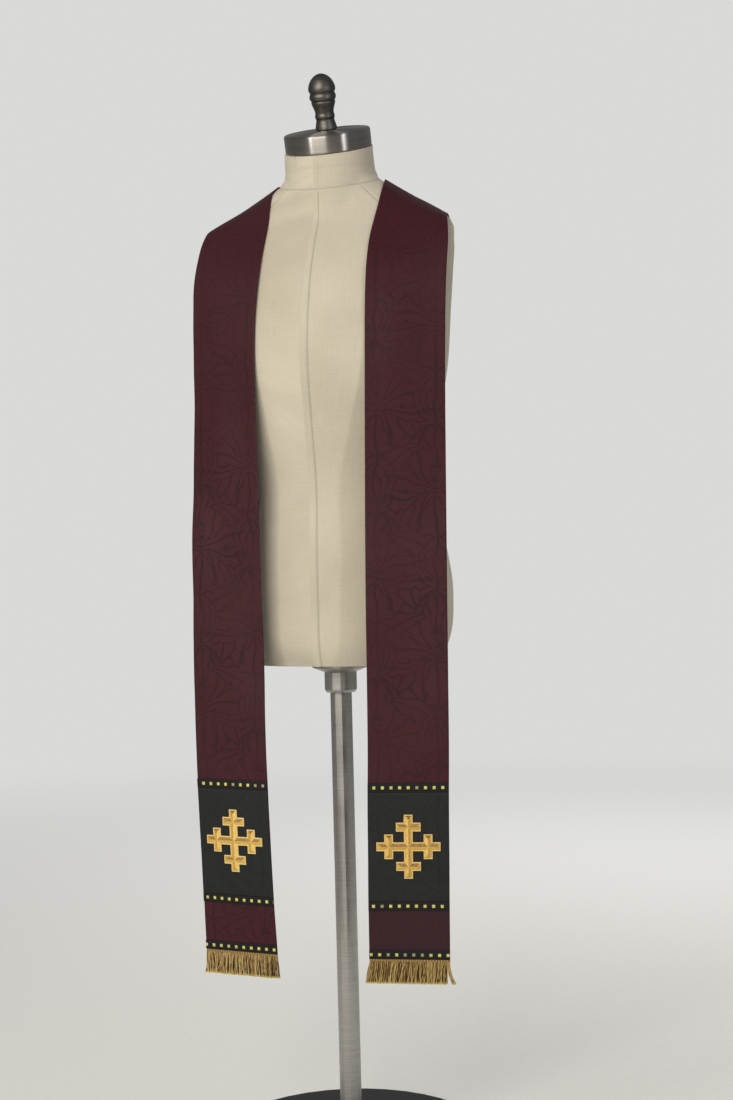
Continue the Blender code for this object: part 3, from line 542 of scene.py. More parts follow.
# Sections across the wearer's left band, from the nape seam over the shoulder to the hem. Each gives the
# middle of the band, how far its outer edge is turned back and sloped down, in degrees, and its width.
BandSection = namedtuple("BandSection", "name across forward height turn slope width")
BAND_SECTIONS = [
    BandSection("nape seam", GAP / 2, 0.1030, 1.3935, 90.0, 77.0, 96 * MM),
    BandSection("nape side", 0.0490, 0.1000, 1.3950, 52.0, 66.0, 105 * MM),
    BandSection("back of shoulder", 0.0950, 0.0820, 1.3995, 36.0, 53.0, 112 * MM),
    BandSection("behind the ridge", 0.1220, 0.0450, 1.4095, 14.0, 40.0, 116 * MM),
    BandSection("shoulder ridge", 0.1300, 0.0070, 1.4165, -3.0, 32.0, 117 * MM),
    BandSection("before the ridge", 0.1320, -0.0200, 1.4030, -3.0, 26.5, 116 * MM),
    BandSection("collarbone", 0.1340, -0.0410, 1.3770, 0.0, 18.0, 115 * MM),
    BandSection("upper chest", 0.1350, -0.0625, 1.3430, 7.0, 9.0, BAND_WIDTH),
    BandSection("chest", 0.1352, -0.0830, 1.2990, 12.5, 4.0, BAND_WIDTH),
    BandSection("full chest", 0.1354, -0.0950, 1.2500, 16.5, 1.5, BAND_WIDTH),
    BandSection("below the chest", 0.1350, -0.1010, 1.1900, 19.5, 0.0, BAND_WIDTH),
    BandSection("ribs", 0.1340, -0.1050, 1.1100, 20.0, 0.0, BAND_WIDTH),
    BandSection("waist", 0.1335, -0.1095, 1.0200, 16.5, 0.0, BAND_WIDTH),
    BandSection("hip", 0.1330, -0.1145, 0.9300, 13.5, 0.0, BAND_WIDTH),
    BandSection("thigh", 0.1326, -0.1190, 0.8300, 11.2, 0.0, BAND_WIDTH),
    BandSection("above the knee", 0.1320, -0.1218, 0.7200, 9.0, 0.0, BAND_WIDTH),
    BandSection("knee", 0.1310, -0.1232, 0.6200, 9.0, 0.0, BAND_WIDTH),
    BandSection("apron top", 0.1293, -0.1237, 0.5500, 8.8, 0.0, BAND_WIDTH),
    BandSection("apron", 0.1276, -0.1222, 0.4600, 8.0, 0.0, BAND_WIDTH),
    BandSection("apron foot", 0.1262, -0.1207, 0.4000, 7.2, 0.0, BAND_WIDTH),
    BandSection("hem", 0.1243, -0.1167, 0.3265, 7.0, 0.0, BAND_WIDTH),
]

# Soft buckles of the stiff cloth: middle above the hem, half length, place across the band from -0.5 at
# the neck edge to 0.5 at the outer edge, half breadth as a share of the width, and height of the swell.
Fold = namedtuple("Fold", "above_hem half_length place half_breadth height")
FOLDS = {
    "left": [
        Fold(1.060, 0.090, 0.50, 0.45, 2.2 * MM),
        Fold(0.870, 0.130, -0.10, 0.40, 2.0 * MM),
        Fold(0.680, 0.110, 0.45, 0.50, -2.6 * MM),
        Fold(0.500, 0.150, -0.50, 0.55, 2.4 * MM),
        Fold(0.330, 0.100, 0.40, 0.60, 1.8 * MM),
        Fold(0.080, 0.110, -0.45, 0.50, 2.0 * MM),
    ],
    "right": [
        Fold(1.090, 0.080, 0.45, 0.50, 2.6 * MM),
        Fold(0.930, 0.100, 0.50, 0.40, -2.2 * MM),
        Fold(0.740, 0.120, 0.10, 0.45, 2.2 * MM),
        Fold(0.590, 0.090, 0.50, 0.50, 3.0 * MM),
        Fold(0.420, 0.130, -0.50, 0.50, -2.4 * MM),
        Fold(0.120, 0.150, 0.50, 0.55, -3.0 * MM),
    ],
}
# Where the cloth turns over the shoulder an edge is drawn in: middle above the hem, half length, and
# how far the neck edge and the outer edge move outwards.
DrawnEdge = namedtuple("DrawnEdge", "above_hem half_length neck_edge outer_edge")
DRAWN_EDGES = {
    "left": DrawnEdge(1.090, 0.085, 6.0 * MM, -1.0 * MM),
    "right": DrawnEdge(1.060, 0.110, -0.5 * MM, -4.5 * MM),
}
# Slow unevenness of hand-made cloth: waves along the band, their lean across it, phase and height.
RIPPLES = [(0.086, 2.2, 0.7, 0.20 * MM), (0.047, -3.1, 2.9, 0.16 * MM), (0.0229, 4.3, 5.2, 0.10 * MM)]
BAND_ROW_PITCH = 5 * MM


def form_ratio(points):
    """1 on the torso's skin, less inside and more outside, along each level section."""
    half_width, front, side, back, squareness = form_section(points[:, 2])
    y = points[:, 1] - side
    depth = np.where(y < 0, side - front, back - side)
    x_part = (np.abs(points[:, 0]) / half_width) ** squareness
    return (x_part + (np.abs(y) / depth) ** squareness) ** (1 / squareness)


def rest_on_form(points, clearance):
    """Moves the points that lie nearer than clearance to the torso straight out of its skin."""
    feel = 0.4 * MM  # how far to each side the slope of the skin is felt
    longest_move = 4 * MM
    for _ in range(6):
        slope = [form_ratio(points + feel * axis) - form_ratio(points - feel * axis) for axis in np.eye(3)]
        slope = np.stack(slope, 1) / (2 * feel)
        size = np.linalg.norm(slope, axis=1, keepdims=True)
        distance = (form_ratio(points)[:, None] - 1) / size
        points = points + slope / size * np.clip(clearance - distance, 0, longest_move)
    return points


section_middles = np.array([s[1:4] for s in BAND_SECTIONS])
section_gaps = np.linalg.norm(np.diff(section_middles, axis=0), axis=1)
BAND_KNOTS = np.concatenate([[0], np.cumsum(section_gaps)])
section_rows = []
for s in BAND_SECTIONS:
    turn, slope = math.radians(s.turn), math.radians(s.slope)
    level = math.cos(slope)
    direction = (level * math.cos(turn), level * math.sin(turn), -math.sin(slope))
    section_rows.append((s.across, s.forward, s.height, *direction, s.width))
# The second section once more on the other side, so that the two bands run into each other at the nape.
before_nape = [v * (-1 if k in (0, 3) else 1) for k, v in enumerate(section_rows[1])]


def band_frame(knot):
    """Middle, across direction and width at each knot, even across the nape seam."""
    return smooth(np.concatenate([[-BAND_KNOTS[1]], BAND_KNOTS]), [before_nape] + section_rows, knot)


KNOT_SCALE = np.linspace(0, BAND_KNOTS[-1], 600)
scale_steps = np.linalg.norm(np.diff(band_frame(KNOT_SCALE)[:, :3], axis=0), axis=1)
LENGTH_SCALE = np.concatenate([[0], np.cumsum(scale_steps)])
BAND_LENGTH = LENGTH_SCALE[-1]  # nape seam to hem along the middle


def swell(side, length, place):
    """Height of the folds and of the cloth's unevenness at a length from the nape and a place across."""
    total = 0
    for fold in FOLDS[side]:
        along = bump((BAND_LENGTH - length - fold.above_hem) / fold.half_length)
        total = total + fold.height * along * bump((place - fold.place) / fold.half_breadth)
    for wave, lean, phase, height in RIPPLES:
        total = total + height * np.sin(length / wave * 2 + lean * place + phase * SIDES[side])
    return total


def drawn_in(side, length, place):
    """How far a point moves outwards across the band where an edge is drawn in."""
    edge = DRAWN_EDGES[side]
    shift = edge.neck_edge * (0.5 - place) + edge.outer_edge * (0.5 + place)
    return shift * bump((BAND_LENGTH - length - edge.above_hem) / edge.half_length)


def outward(grid, starts_at_nape):
    """Unit normals of a grid of points on the band, pointing away from the form."""
    normals = grid_normals(grid)
    if starts_at_nape:
        normals[0, :, 0] = 0  # the two bands meet face to face there
    return normals / np.linalg.norm(normals, axis=2, keepdims=True)


def band_skin(side, lengths, places):
    """Grid of points on the back of the band and its outward normals, rows by columns."""
    lengths, places = np.asarray(lengths, float), np.asarray(places, float)
    frame_rows = band_frame(np.interp(lengths, LENGTH_SCALE, KNOT_SCALE))
    past_hem = np.clip(lengths - BAND_LENGTH, 0, None)
    middle, across, width = frame_rows[:, :3], frame_rows[:, 3:6], frame_rows[:, 6]
    middle = middle - past_hem[:, None] * np.array([0, 0, 1.0])
    across = across / np.linalg.norm(across, axis=1, keepdims=True)
    reach = width[:, None] * places[None, :] + drawn_in(side, lengths[:, None], places[None, :])
    grid = middle[:, None] + across[:, None] * reach[:, :, None]
    at_nape = lengths[0] == 0
    grid = grid + outward(grid, at_nape) * swell(side, lengths[:, None], places[None, :])[:, :, None]
    grid = rest_on_form(grid.reshape(-1, 3), FORM_CLEARANCE).reshape(grid.shape)
    if at_nape:
        grid[0, :, 0] = GAP / 2
    mirror = np.array([SIDES[side], 1, 1])
    return grid * mirror, outward(grid, at_nape) * mirror


EDGE_ANGLES = np.radians([60, 30, 0, -30, -60])  # points round a rolled edge, from the face to the back
END_ROLL = [(0.0, 0.35), (0.13, 0.6), (0.5, 0.9), (1.0, 1.0)]  # share of the roll's radius, and of the wall


def rolled_rows(start, end, radius, pitch=None, lines=None):
    """Lengths of a strip's rows, closer where its two ends roll over, and the share of its wall there.

    Between the rolls the rows are even and at most pitch apart, or at the lengths that lines gives.
    """
    near = [start + share * radius for share, _ in END_ROLL]
    far = [end - share * radius for share, _ in END_ROLL[::-1]]
    inner = even(near[-1], far[0], pitch)[1:-1] if lines is None else lines
    walls = [wall for _, wall in END_ROLL]
    return np.array([*near, *inner, *far]), np.array(walls + [1.0] * len(inner) + walls[::-1])


def rolled_places(radius, places):
    """Places across a strip's face, kept clear of its rolled edges."""
    inset = radius / BAND_WIDTH
    return np.clip(places, inset - 0.5, 0.5 - inset)


def make_strip(name, side, rows, face_places, low, high, finishes, relief=None, back_from=None):
    """A closed strip over the band from low to high above its back, with rolled edges.

    relief gives the face's height and its own attributes at each length and place. back_from is how far
    in from each edge the second finish starts on the back.
    """
    lengths, walls = rows
    radius = (high - low) / 2
    edge_inset = radius * (1 - np.cos(EDGE_ANGLES)) / BAND_WIDTH
    edge_lift = radius * np.sin(EDGE_ANGLES)
    # One ring round the strip's section: its face, outer edge, back and neck edge.
    ring = [(place, radius) for place in face_places]
    ring += list(zip(0.5 - edge_inset, edge_lift))
    ring += [(place, -radius) for place in face_places[::-1]]
    ring += list(zip(edge_inset[::-1] - 0.5, edge_lift[::-1]))
    ring_places, ring_lifts = np.array(ring).T
    places, picked = np.unique(np.round(ring_places, 9), return_inverse=True)
    grid, normals = band_skin(side, lengths, places)
    lift = ring_lifts[None, :] * walls[:, None] + (low + radius)
    extra = {}
    count = len(face_places)
    if relief:
        raised, extra = relief(lengths[:, None], ring_places[None, :])
        on_face = np.arange(len(ring)) < count
        lift = lift + raised * on_face * walls[:, None]
        extra = {key: (values * np.ones_like(lift)).ravel() for key, values in extra.items()}
    points = grid[:, picked] + normals[:, picked] * lift[:, :, None]
    size = len(ring)
    faces = grid_faces(len(lengths), size, closed_round=True)
    edge = len(EDGE_ANGLES)
    # Each end is closed by a row of four-cornered faces and one more at each rolled edge.
    for start, flip in ((0, False), ((len(lengths) - 1) * size, True)):
        ends = []
        for c in range(count - 1):
            back = 2 * count + edge - 1 - c
            ends.append((start + c, start + back, start + back - 1, start + c + 1))
        ends.append(tuple(start + k for k in range(count - 1, count + edge + 1)))
        ends.append(tuple(start + k % size for k in range(2 * count + edge - 1, size + 1)))
        faces += [face[::-1] if flip else face for face in ends]
    if SIDES[side] > 0:
        faces = [face[::-1] for face in faces]
    cut = np.broadcast_arrays(ring_places[None, :] * BAND_WIDTH, lengths[:, None], SIDES[side])
    face_finish = None
    if back_from is not None:
        on_back = np.zeros(size, bool)
        on_back[count + edge : 2 * count + edge - 1] = True
        from_middle = np.abs(ring_places + np.roll(ring_places, -1)) / 2 * BAND_WIDTH
        face_finish = np.zeros(len(faces), int)
        lined = on_back & (from_middle < BAND_WIDTH / 2 - back_from)
        face_finish[: (len(lengths) - 1) * size] = np.tile(lined, len(lengths) - 1)
    attributes = {"cut": np.stack(cut, 2).reshape(-1, 3), **extra}
    return make_piece(name, points.reshape(-1, 3), faces, finishes, attributes, 50.0, face_finish)


# The figure of the damask: leaves drawn one over another on half a repeat, from 0 to HALF_REPEAT across,
# that the loom mirrors, and set again half a repeat higher and the other way round. The first two only
# show in the gaps that the others leave, and the last three are the petals of the flower. Millimetres and
# degrees.
HALF_REPEAT, REPEAT = 84.0, 236.0
Leaf = namedtuple("Leaf", "leaf_across leaf_up turn length half_width bend lobes")
LEAVES = [
    Leaf(24, -22, -20, 54, 19, 0.1, 3),
    Leaf(-3, -11, -22, 40, 14, -0.25, 2),
    Leaf(2, -16, 262, 80, 26, 0.30, 3),
    Leaf(30, 66, 300, 50, 19, 0.9, 2),
    Leaf(66, -44, 104, 66, 20, -0.60, 3),
    Leaf(27, -33, 64, 74, 20, 0.62, 3),
    Leaf(88, 22, 154, 60, 18, 0.60, 3),
    Leaf(66, 88, 250, 62, 21, 0.65, 3),
    Leaf(0, 44, 90, 78, 23, 0.0, 3),
    Leaf(2, 10, -24, 66, 18, 0.60, 3),
    Leaf(2, 22, 20, 76, 21, -0.50, 3),
    Leaf(2, 36, 54, 70, 20, -0.44, 3),
    Leaf(0, -10, 90, 76, 30, 0.0, 3),
    Leaf(0, -2, 90, 54, 21, 0.0, 2),
    Leaf(0, 4, 90, 34, 13, 0.0, 1),
]
# How one leaf is worked out from a point: result, operation and terms, where a number stands for itself.
LEAF_STEPS = [
    # Where the point lies from the leaf's foot.
    ("x", "SUBTRACT", "across", "leaf_across"),
    ("y", "SUBTRACT", "up", "leaf_up"),
    ("y", "WRAP", "y", REPEAT / 2, -REPEAT / 2),
    # Along the leaf, 0 at its foot and 1 at its tip.
    ("cosine", "COSINE", "turn"),
    ("sine", "SINE", "turn"),
    ("along", "MULTIPLY", "x", "cosine"),
    ("along", "MULTIPLY_ADD", "y", "sine", "along"),
    ("along", "DIVIDE", "along", "length"),
    ("along", "MAXIMUM", "along", 0.0),
    ("along", "MINIMUM", "along", 1.0),
    # Beside its midrib, which curls by bend towards the tip.
    ("side", "MULTIPLY", "x", "sine"),
    ("beside", "MULTIPLY", "y", "cosine"),
    ("beside", "SUBTRACT", "beside", "side"),
    ("curl", "POWER", "along", 2.6),
    ("curl", "MULTIPLY", "curl", "bend"),
    ("curl", "MULTIPLY", "curl", "length"),
    ("beside", "SUBTRACT", "beside", "curl"),
    ("beside", "ABSOLUTE", "beside"),
    # Half the leaf's width there, scalloped into lobes that slant towards the tip.
    ("width", "POWER", "along", 0.85),
    ("width", "MULTIPLY", "width", math.pi),
    ("width", "SINE", "width"),
    ("width", "POWER", "width", 0.5),
    ("width", "MULTIPLY", "width", "half_width"),
    ("lobe", "DIVIDE", "beside", "length"),
    ("lobe", "MULTIPLY_ADD", "lobe", -0.9, "along"),
    ("lobe", "MULTIPLY", "lobe", "lobes"),
    ("lobe", "MULTIPLY", "lobe", math.pi),
    ("notch", "SINE", "lobe"),
    ("notch", "ABSOLUTE", "notch"),
    ("scallop", "POWER", "notch", 0.5),
    ("scallop", "MULTIPLY_ADD", "scallop", 0.36, 0.64),
    ("width", "MULTIPLY", "width", "scallop"),
    # How much of what lies below it covers: all of it but for a soft edge.
    ("inside", "SUBTRACT", "width", "beside"),
    ("cover", "MULTIPLY", "inside", 2.5),
    ("cover", "MAXIMUM", "cover", 0.0),
    ("cover", "MINIMUM", "cover", 1.0),
    # Its satin, inside a dark outline and between dark veins and a dark midrib.
    ("body", "SUBTRACT", "inside", 1.7),
    ("body", "MULTIPLY", "body", 0.42),
    ("vein", "MULTIPLY", "notch", 3.2),
    ("rim", "MULTIPLY", "inside", 0.16),
    ("vein", "MAXIMUM", "vein", "rim"),
    ("rib", "SUBTRACT", "beside", 0.6),
    ("rib", "MULTIPLY", "rib", 0.5),
    ("body", "MINIMUM", "body", "rib"),
    ("body", "MINIMUM", "body", "vein"),
    ("body", "MAXIMUM", "body", 0.0),
    ("body", "MINIMUM", "body", 1.0),
    # The leaf laid over what is below it.
    ("change", "SUBTRACT", "body", "below"),
    ("figure", "MULTIPLY_ADD", "change", "cover", "below"),
]


def start_group(name, inputs, output):
    """An empty node group with number inputs and one number output, and its two end nodes."""
    group = bpy.data.node_groups.new(name, "ShaderNodeTree")
    for key in inputs:
        group.interface.new_socket(key, in_out="INPUT", socket_type="NodeSocketFloat")
    group.interface.new_socket(output, in_out="OUTPUT", socket_type="NodeSocketFloat")
    return group, group.nodes.new("NodeGroupInput"), group.nodes.new("NodeGroupOutput")


leaf_inputs = ["across", "up", "below", *Leaf._fields]
leaf_group, group_start, group_end = start_group("damask_leaf", leaf_inputs, "figure")
known = {key: group_start.outputs[key] for key in leaf_inputs}
for result, operation, *terms in LEAF_STEPS:
    sockets = {k: known.get(term, term) for k, term in enumerate(terms)}
    known[result] = add(leaf_group, "Math", sockets, operation=operation).outputs[0]
connect(leaf_group, group_end, {"figure": known["figure"]})

damask_group, group_start, group_end = start_group("damask_figure", ["across", "up"], "figure")
mirrored = {0: group_start.outputs["across"], 1: HALF_REPEAT}
mirrored = add(damask_group, "Math", mirrored, operation="PINGPONG")
figure = 0.0
for leaf in LEAVES:
    higher = leaf._replace(leaf_across=HALF_REPEAT - leaf.leaf_across, leaf_up=leaf.leaf_up + REPEAT / 2)
    for drawn in (leaf, higher._replace(turn=180 - leaf.turn, bend=-leaf.bend)):
        inputs = {"across": mirrored, "up": group_start.outputs["up"], "below": figure}
        inputs |= drawn._replace(turn=math.radians(drawn.turn))._asdict()
        figure = add(damask_group, "Group", inputs, node_tree=leaf_group)
connect(damask_group, group_end, {"figure": figure})

WANDER = 15.0  # millimetres between the furthest that the figure can stray to either side
SHOULDER = (260.0, 480.0)  # millimetres from the nape between which the band turns down over the shoulder


def weave_damask(name, ground, satin, up_shift, roughness, worn_hem=None):
    """A damask of one colour: the figure in satin, smoother and lighter than the ribbed ground.

    The figure is up_shift millimetres higher on the left band, and lower on the right. roughness is the
    ground's and the satin's. worn_hem gives the length past which the wearer's left band has faded, the
    colour that it has there, and how far it has gone.
    """
    made, tree, shader = start_material(
        name, IOR=1.5, Specular_IOR_Level=0.2, Sheen_Weight=0.03, Sheen_Roughness=0.45
    )
    cut = add(tree, "SeparateXYZ", {0: add(tree, "Attribute", attribute_name="cut").outputs["Vector"]})
    along = add(tree, "Math", {0: cut.outputs["Y"], 1: 1 / MM}, operation="MULTIPLY")
    along = add(tree, "Math", {0: cut.outputs["Z"], 1: up_shift, 2: along}, operation="MULTIPLY_ADD")
    up = add(tree, "Math", {0: along, 1: -1.0}, operation="MULTIPLY")
    across = add(tree, "Math", {0: cut.outputs["X"], 1: 1 / MM}, operation="MULTIPLY")
    flat = add(tree, "CombineXYZ", {"X": across, "Y": along})
    # Soft silk is never quite square to its threads: the figure wanders, mostly by 2 or 3 mm.
    wander = add(tree, "TexNoise", {"Vector": flat, "Scale": 0.027, "Detail": 0.0}).outputs["Color"]
    stray = {0: wander, 1: (WANDER, WANDER, 0.0), 2: ((HALF_REPEAT - WANDER) / 2, -WANDER / 2, 0.0)}
    stray = add(tree, "VectorMath", stray, operation="MULTIPLY_ADD")
    place = add(tree, "CombineXYZ", {"X": across, "Y": up})
    place = add(tree, "VectorMath", {0: place, 1: stray}, operation="ADD")
    place = add(tree, "SeparateXYZ", {0: place})
    figure_inputs = {"across": place.outputs["X"], "up": place.outputs["Y"]}
    woven = add(tree, "Group", figure_inputs, node_tree=damask_group)
    # Painted light: the figure is drawn to show well where the silk turns to the light, and nearly to go
    # where it doesn't, as over the shoulders, where it faces up, and in slow clouds.
    painted_light_catch = add(tree, "TexNoise", {"Vector": flat, "Scale": 0.011, "Detail": 2.0})
    painted_light_catch = add(tree, "MapRange", {0: painted_light_catch, 1: 0.38, 2: 0.58, 3: 0.5, 4: 1.0})
    hanging = add(tree, "MapRange", {0: along, 1: SHOULDER[0], 2: SHOULDER[1], 3: 0.5, 4: 1.0})
    painted_light_catch = add(tree, "Math", {0: painted_light_catch, 1: hanging}, operation="MULTIPLY")
    ground_shown = add(tree, "Math", {0: 1.0, 1: woven}, operation="SUBTRACT")
    ground_shown = add(tree, "Math", {0: ground_shown, 1: painted_light_catch}, operation="MULTIPLY")
    figure = add(tree, "Math", {0: 1.0, 1: ground_shown}, operation="SUBTRACT")
    tint = add(tree, "MixRGB", {0: figure, 1: linear(ground), 2: linear(satin)})
    if worn_hem is not None:
        worn_from, worn_colour, worn_share = worn_hem
        worn = add(tree, "Math", {0: cut.outputs["Y"], 1: worn_from}, operation="GREATER_THAN")
        on_left = add(tree, "Math", {0: cut.outputs["Z"], 1: 0.0}, operation="GREATER_THAN")
        worn = add(tree, "Math", {0: worn, 1: on_left}, operation="MULTIPLY")
        worn = add(tree, "Math", {0: worn, 1: worn_share}, operation="MULTIPLY")
        tint = add(tree, "MixRGB", {0: worn, 1: tint, 2: linear(worn_colour)})
    # The yarn's colour differs a little from thread to thread, and in clouds some 80 mm wide.
    streak = add(tree, "Mapping", {"Vector": flat, "Scale": (0.05, 1.4, 1.0)})
    streak = add(tree, "TexNoise", {"Vector": streak, "Scale": 1.0, "Detail": 2.0})
    streak = add(tree, "MapRange", {0: streak, 1: 0.3, 2: 0.7, 3: 0.93, 4: 1.07})
    cloud = add(tree, "TexNoise", {"Vector": flat, "Scale": 0.012, "Detail": 3.0})
    cloud = add(tree, "MapRange", {0: cloud, 1: 0.3, 2: 0.7, 3: 0.94, 4: 1.06})
    uneven = add(tree, "Math", {0: streak, 1: cloud}, operation="MULTIPLY")
    tint = add(tree, "MixRGB", {0: 1.0, 1: tint, 2: uneven}, blend_type="MULTIPLY")
    gloss = add(tree, "MapRange", {0: figure, 3: roughness[0], 4: roughness[1]})
    # Threads lie 0.25 mm apart, drawn at 0.9 mm so that the rib of the ground shows.
    rib = threads(tree, along, 0.9)
    height = add(tree, "Math", {0: rib, 1: ground_shown}, operation="MULTIPLY")
    height = add(tree, "Math", {0: figure, 1: 0.8, 2: height}, operation="MULTIPLY_ADD")
    skin = add(tree, "Bump", {"Height": height, "Strength": 0.2, "Distance": 0.1 * MM})
    connect(tree, shader, {"Base Color": tint, "Roughness": gloss, "Normal": skin})
    return made


worn_hem = (BAND_LENGTH - MID_BRAID_ABOVE_HEM, "2e1a1e", 0.75)
burgundy_damask = weave_damask("burgundy_silk_damask", "2b0e15", "3a141c", 37.0, (0.62, 0.52), worn_hem)

lining, tree, shader = start_material("cotton_sateen_lining", Roughness=0.55, IOR=1.5)
# Plain wine-red sateen, with only the faint long streaks of its face threads.
cut = add(tree, "Attribute", attribute_name="cut").outputs["Vector"]
streak = add(tree, "Mapping", {"Vector": cut, "Scale": (900.0, 25.0, 1.0)})
streak = add(tree, "TexNoise", {"Vector": streak, "Scale": 1.0, "Detail": 2.0})
tint = add(tree, "ValToRGB", {0: streak}, ramp={0.0: "321419", 1.0: "421b21"})
skin = add(tree, "Bump", {"Height": streak, "Strength": 0.2, "Distance": 0.1 * MM})
connect(tree, shader, {"Base Color": tint, "Normal": skin})

TURNING = 4 * MM  # width of damask folded round to the back at each edge
# The grid's lines run closer together near the band's edges.
near_edge = np.array([0.462, 0.478, 0.5])
band_places = np.concatenate([-near_edge[::-1], np.linspace(-0.44, 0.44, 19), near_edge])
band_places = rolled_places(BAND_WALL / 2, band_places)
band_rows = rolled_rows(0.0, BAND_LENGTH, BAND_WALL / 2, BAND_ROW_PITCH)
for side in SIDES:
    finishes = [burgundy_damask, lining]
    make_strip(
        f"stole_band_{side}", side, band_rows, band_places, 0.0, BAND_WALL, finishes,
        back_from=TURNING,
    )
    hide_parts(f"band_{side}")

# ------------------------------------------------------------------------------------------ apron panels
# Near each hem a panel of black damask is laid over the band and turned in at its edges. It runs from the
# upper braid to the middle one, and carries the cross.

PANEL_WALL = 0.7 * MM
PANEL_ROW_PITCH = 5 * MM
BRAID_WIDTH = 13 * MM
ON_BAND = BAND_WALL + GAP  # height of what is sewn on, above the back of the band
sewn_on = {side: [] for side in SIDES}

black_damask = weave_damask("black_silk_damask", "191a1a", "1e1f1f", 90.0, (0.6, 0.54))

near_edge = np.array([0.485, 0.5])
panel_places = np.concatenate([-near_edge[::-1], np.linspace(-0.46, 0.46, 19), near_edge])
panel_places = rolled_places(PANEL_WALL / 2, panel_places)
panel_top = BAND_LENGTH - TOP_BRAID_ABOVE_HEM + BRAID_WIDTH / 2 + GAP
panel_foot = BAND_LENGTH - MID_BRAID_ABOVE_HEM - BRAID_WIDTH / 2 - GAP
panel_rows = rolled_rows(panel_top, panel_foot, PANEL_WALL / 2, PANEL_ROW_PITCH)
for side in SIDES:
    panel = make_strip(
        f"black_panel_{side}", side, panel_rows, panel_places, ON_BAND, ON_BAND + PANEL_WALL,
        [black_damask],
    )
    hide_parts(f"apron_panel_{side}")
    sewn_on[side].append(panel)

# ----------------------------------------------------------------------------------------------- braids
# Three lengths of black woven braid cross each band. Small squares of gold thread are woven into it, a
# little proud of the black, and its two selvedges are rolled.

BRAID_WALL = 1.1 * MM
BRAIDS = {"hem": BRAID_WIDTH / 2, "mid": MID_BRAID_ABOVE_HEM, "top": TOP_BRAID_ABOVE_HEM}
SQUARE_PITCH = 12.06 * MM
SQUARE_HALF = 2.1 * MM
SQUARE_SLOPE = 0.4 * MM  # width of each square's soft edge
SQUARE_RELIEF = 0.35 * MM
# The middle of each braid's first square from the neck edge, which differs as each length is cut by eye.
FIRST_SQUARE = {
    "left": {"top": 9.1 * MM, "mid": 7.3 * MM, "hem": 2.9 * MM},
    "right": {"top": 6.8 * MM, "mid": -1.8 * MM, "hem": 4.1 * MM},
}
LAST_SQUARE_INSIDE = 0.4 * SQUARE_HALF  # its middle is at least this far from the outer edge
DULLNESS = (0.0, 0.05, 0.1, 0.15, 0.3, 0.8)  # of the gold, drawn by chance for each square
BRAID_SEED = 5

braid, tree, shader = start_material("woven_braid", IOR=1.5, Specular_IOR_Level=0.25)
# Black rayon ribbed across, 0.8 mm a rib, and squares of flat gilt thread 0.5 mm wide, drawn at 0.75 mm.
# A few squares have dulled.
cut = add(tree, "SeparateXYZ", {0: add(tree, "Attribute", attribute_name="cut").outputs["Vector"]})
square = add(tree, "Attribute", attribute_name="square").outputs["Fac"]
dull = add(tree, "Attribute", attribute_name="dull").outputs["Fac"]
rib = threads(tree, cut.outputs["X"], 0.8 * MM)
gold_thread = threads(tree, cut.outputs["Y"], 0.75 * MM)
# Painted shade: the black is drawn darker between its ribs, and the gold darker between its threads.
ground = add(tree, "MixRGB", {0: rib, 1: linear("0c0c0c"), 2: linear("171617")})
gilt = add(tree, "MixRGB", {0: dull, 1: linear("ddd474"), 2: linear("8b8670")})
shade = add(tree, "MapRange", {0: gold_thread, 3: 0.62, 4: 1.08})
gilt = add(tree, "MixRGB", {0: 1.0, 1: gilt, 2: shade}, blend_type="MULTIPLY")
tint = add(tree, "MixRGB", {0: square, 1: ground, 2: gilt})
metal = add(tree, "Math", {0: square, 1: 0.35}, operation="MULTIPLY")
gloss = add(tree, "MapRange", {0: square, 3: 0.7, 4: 0.45})
height = add(tree, "MixRGB", {0: square, 1: rib, 2: gold_thread})
skin = add(tree, "Bump", {"Height": height, "Strength": 0.5, "Distance": 0.15 * MM})
connect(tree, shader, {"Base Color": tint, "Metallic": metal, "Roughness": gloss, "Normal": skin})

dulled = random.Random(BRAID_SEED)
for side in SIDES:
    for braid_name, above_hem in BRAIDS.items():
        first = FIRST_SQUARE[side][braid_name]
        count = int((BAND_WIDTH - LAST_SQUARE_INSIDE - first) / SQUARE_PITCH) + 1
        middles = first + SQUARE_PITCH * np.arange(count)
        tones = np.array([dulled.choice(DULLNESS) for _ in middles])
        middle_length = BAND_LENGTH - above_hem

        def square_relief(lengths, places):
            """Height and attributes of the gold squares at lengths along and places across the band."""
            from_edge = (places + 0.5) * BAND_WIDTH
            nearest = np.clip(np.round((from_edge - first) / SQUARE_PITCH).astype(int), 0, len(middles) - 1)
            off = np.maximum(np.abs(from_edge - middles[nearest]), np.abs(lengths - middle_length))
            share = np.clip((SQUARE_HALF + SQUARE_SLOPE / 2 - off) / SQUARE_SLOPE, 0, 1)
            return share * SQUARE_RELIEF, {"square": share, "dull": tones[nearest]}

        steps = np.array([-1, -0.87, -0.45, 0, 0.45, 0.87, 1])  # grid lines through one square
        slopes = steps * (SQUARE_HALF + SQUARE_SLOPE / 2)
        across = np.concatenate([m + slopes for m in middles] + [middles + SQUARE_PITCH / 2])
        places = np.concatenate([across / BAND_WIDTH - 0.5, [-0.5, 0.5]])
        places = np.unique(np.round(rolled_places(BRAID_WALL / 2, places), 6))
        start, end = middle_length - BRAID_WIDTH / 2, middle_length + BRAID_WIDTH / 2
        rows = rolled_rows(start, end, BRAID_WALL / 2, lines=middle_length + slopes)
        sewn = make_strip(
            f"gold_squared_braid_{braid_name}_{side}", side, rows, places, ON_BAND, ON_BAND + BRAID_WALL,
            [braid], relief=square_relief,
        )
        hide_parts(f"braid_{braid_name}_{side}")
        sewn_on[side].append(sewn)

# --------------------------------------------------------------------------------------------- crosses
# A cross crosslet is embroidered on each black panel: gold satin stitch over card, so that every bar is a
# low roof whose threads run across it, with a couched cord round the whole outline.

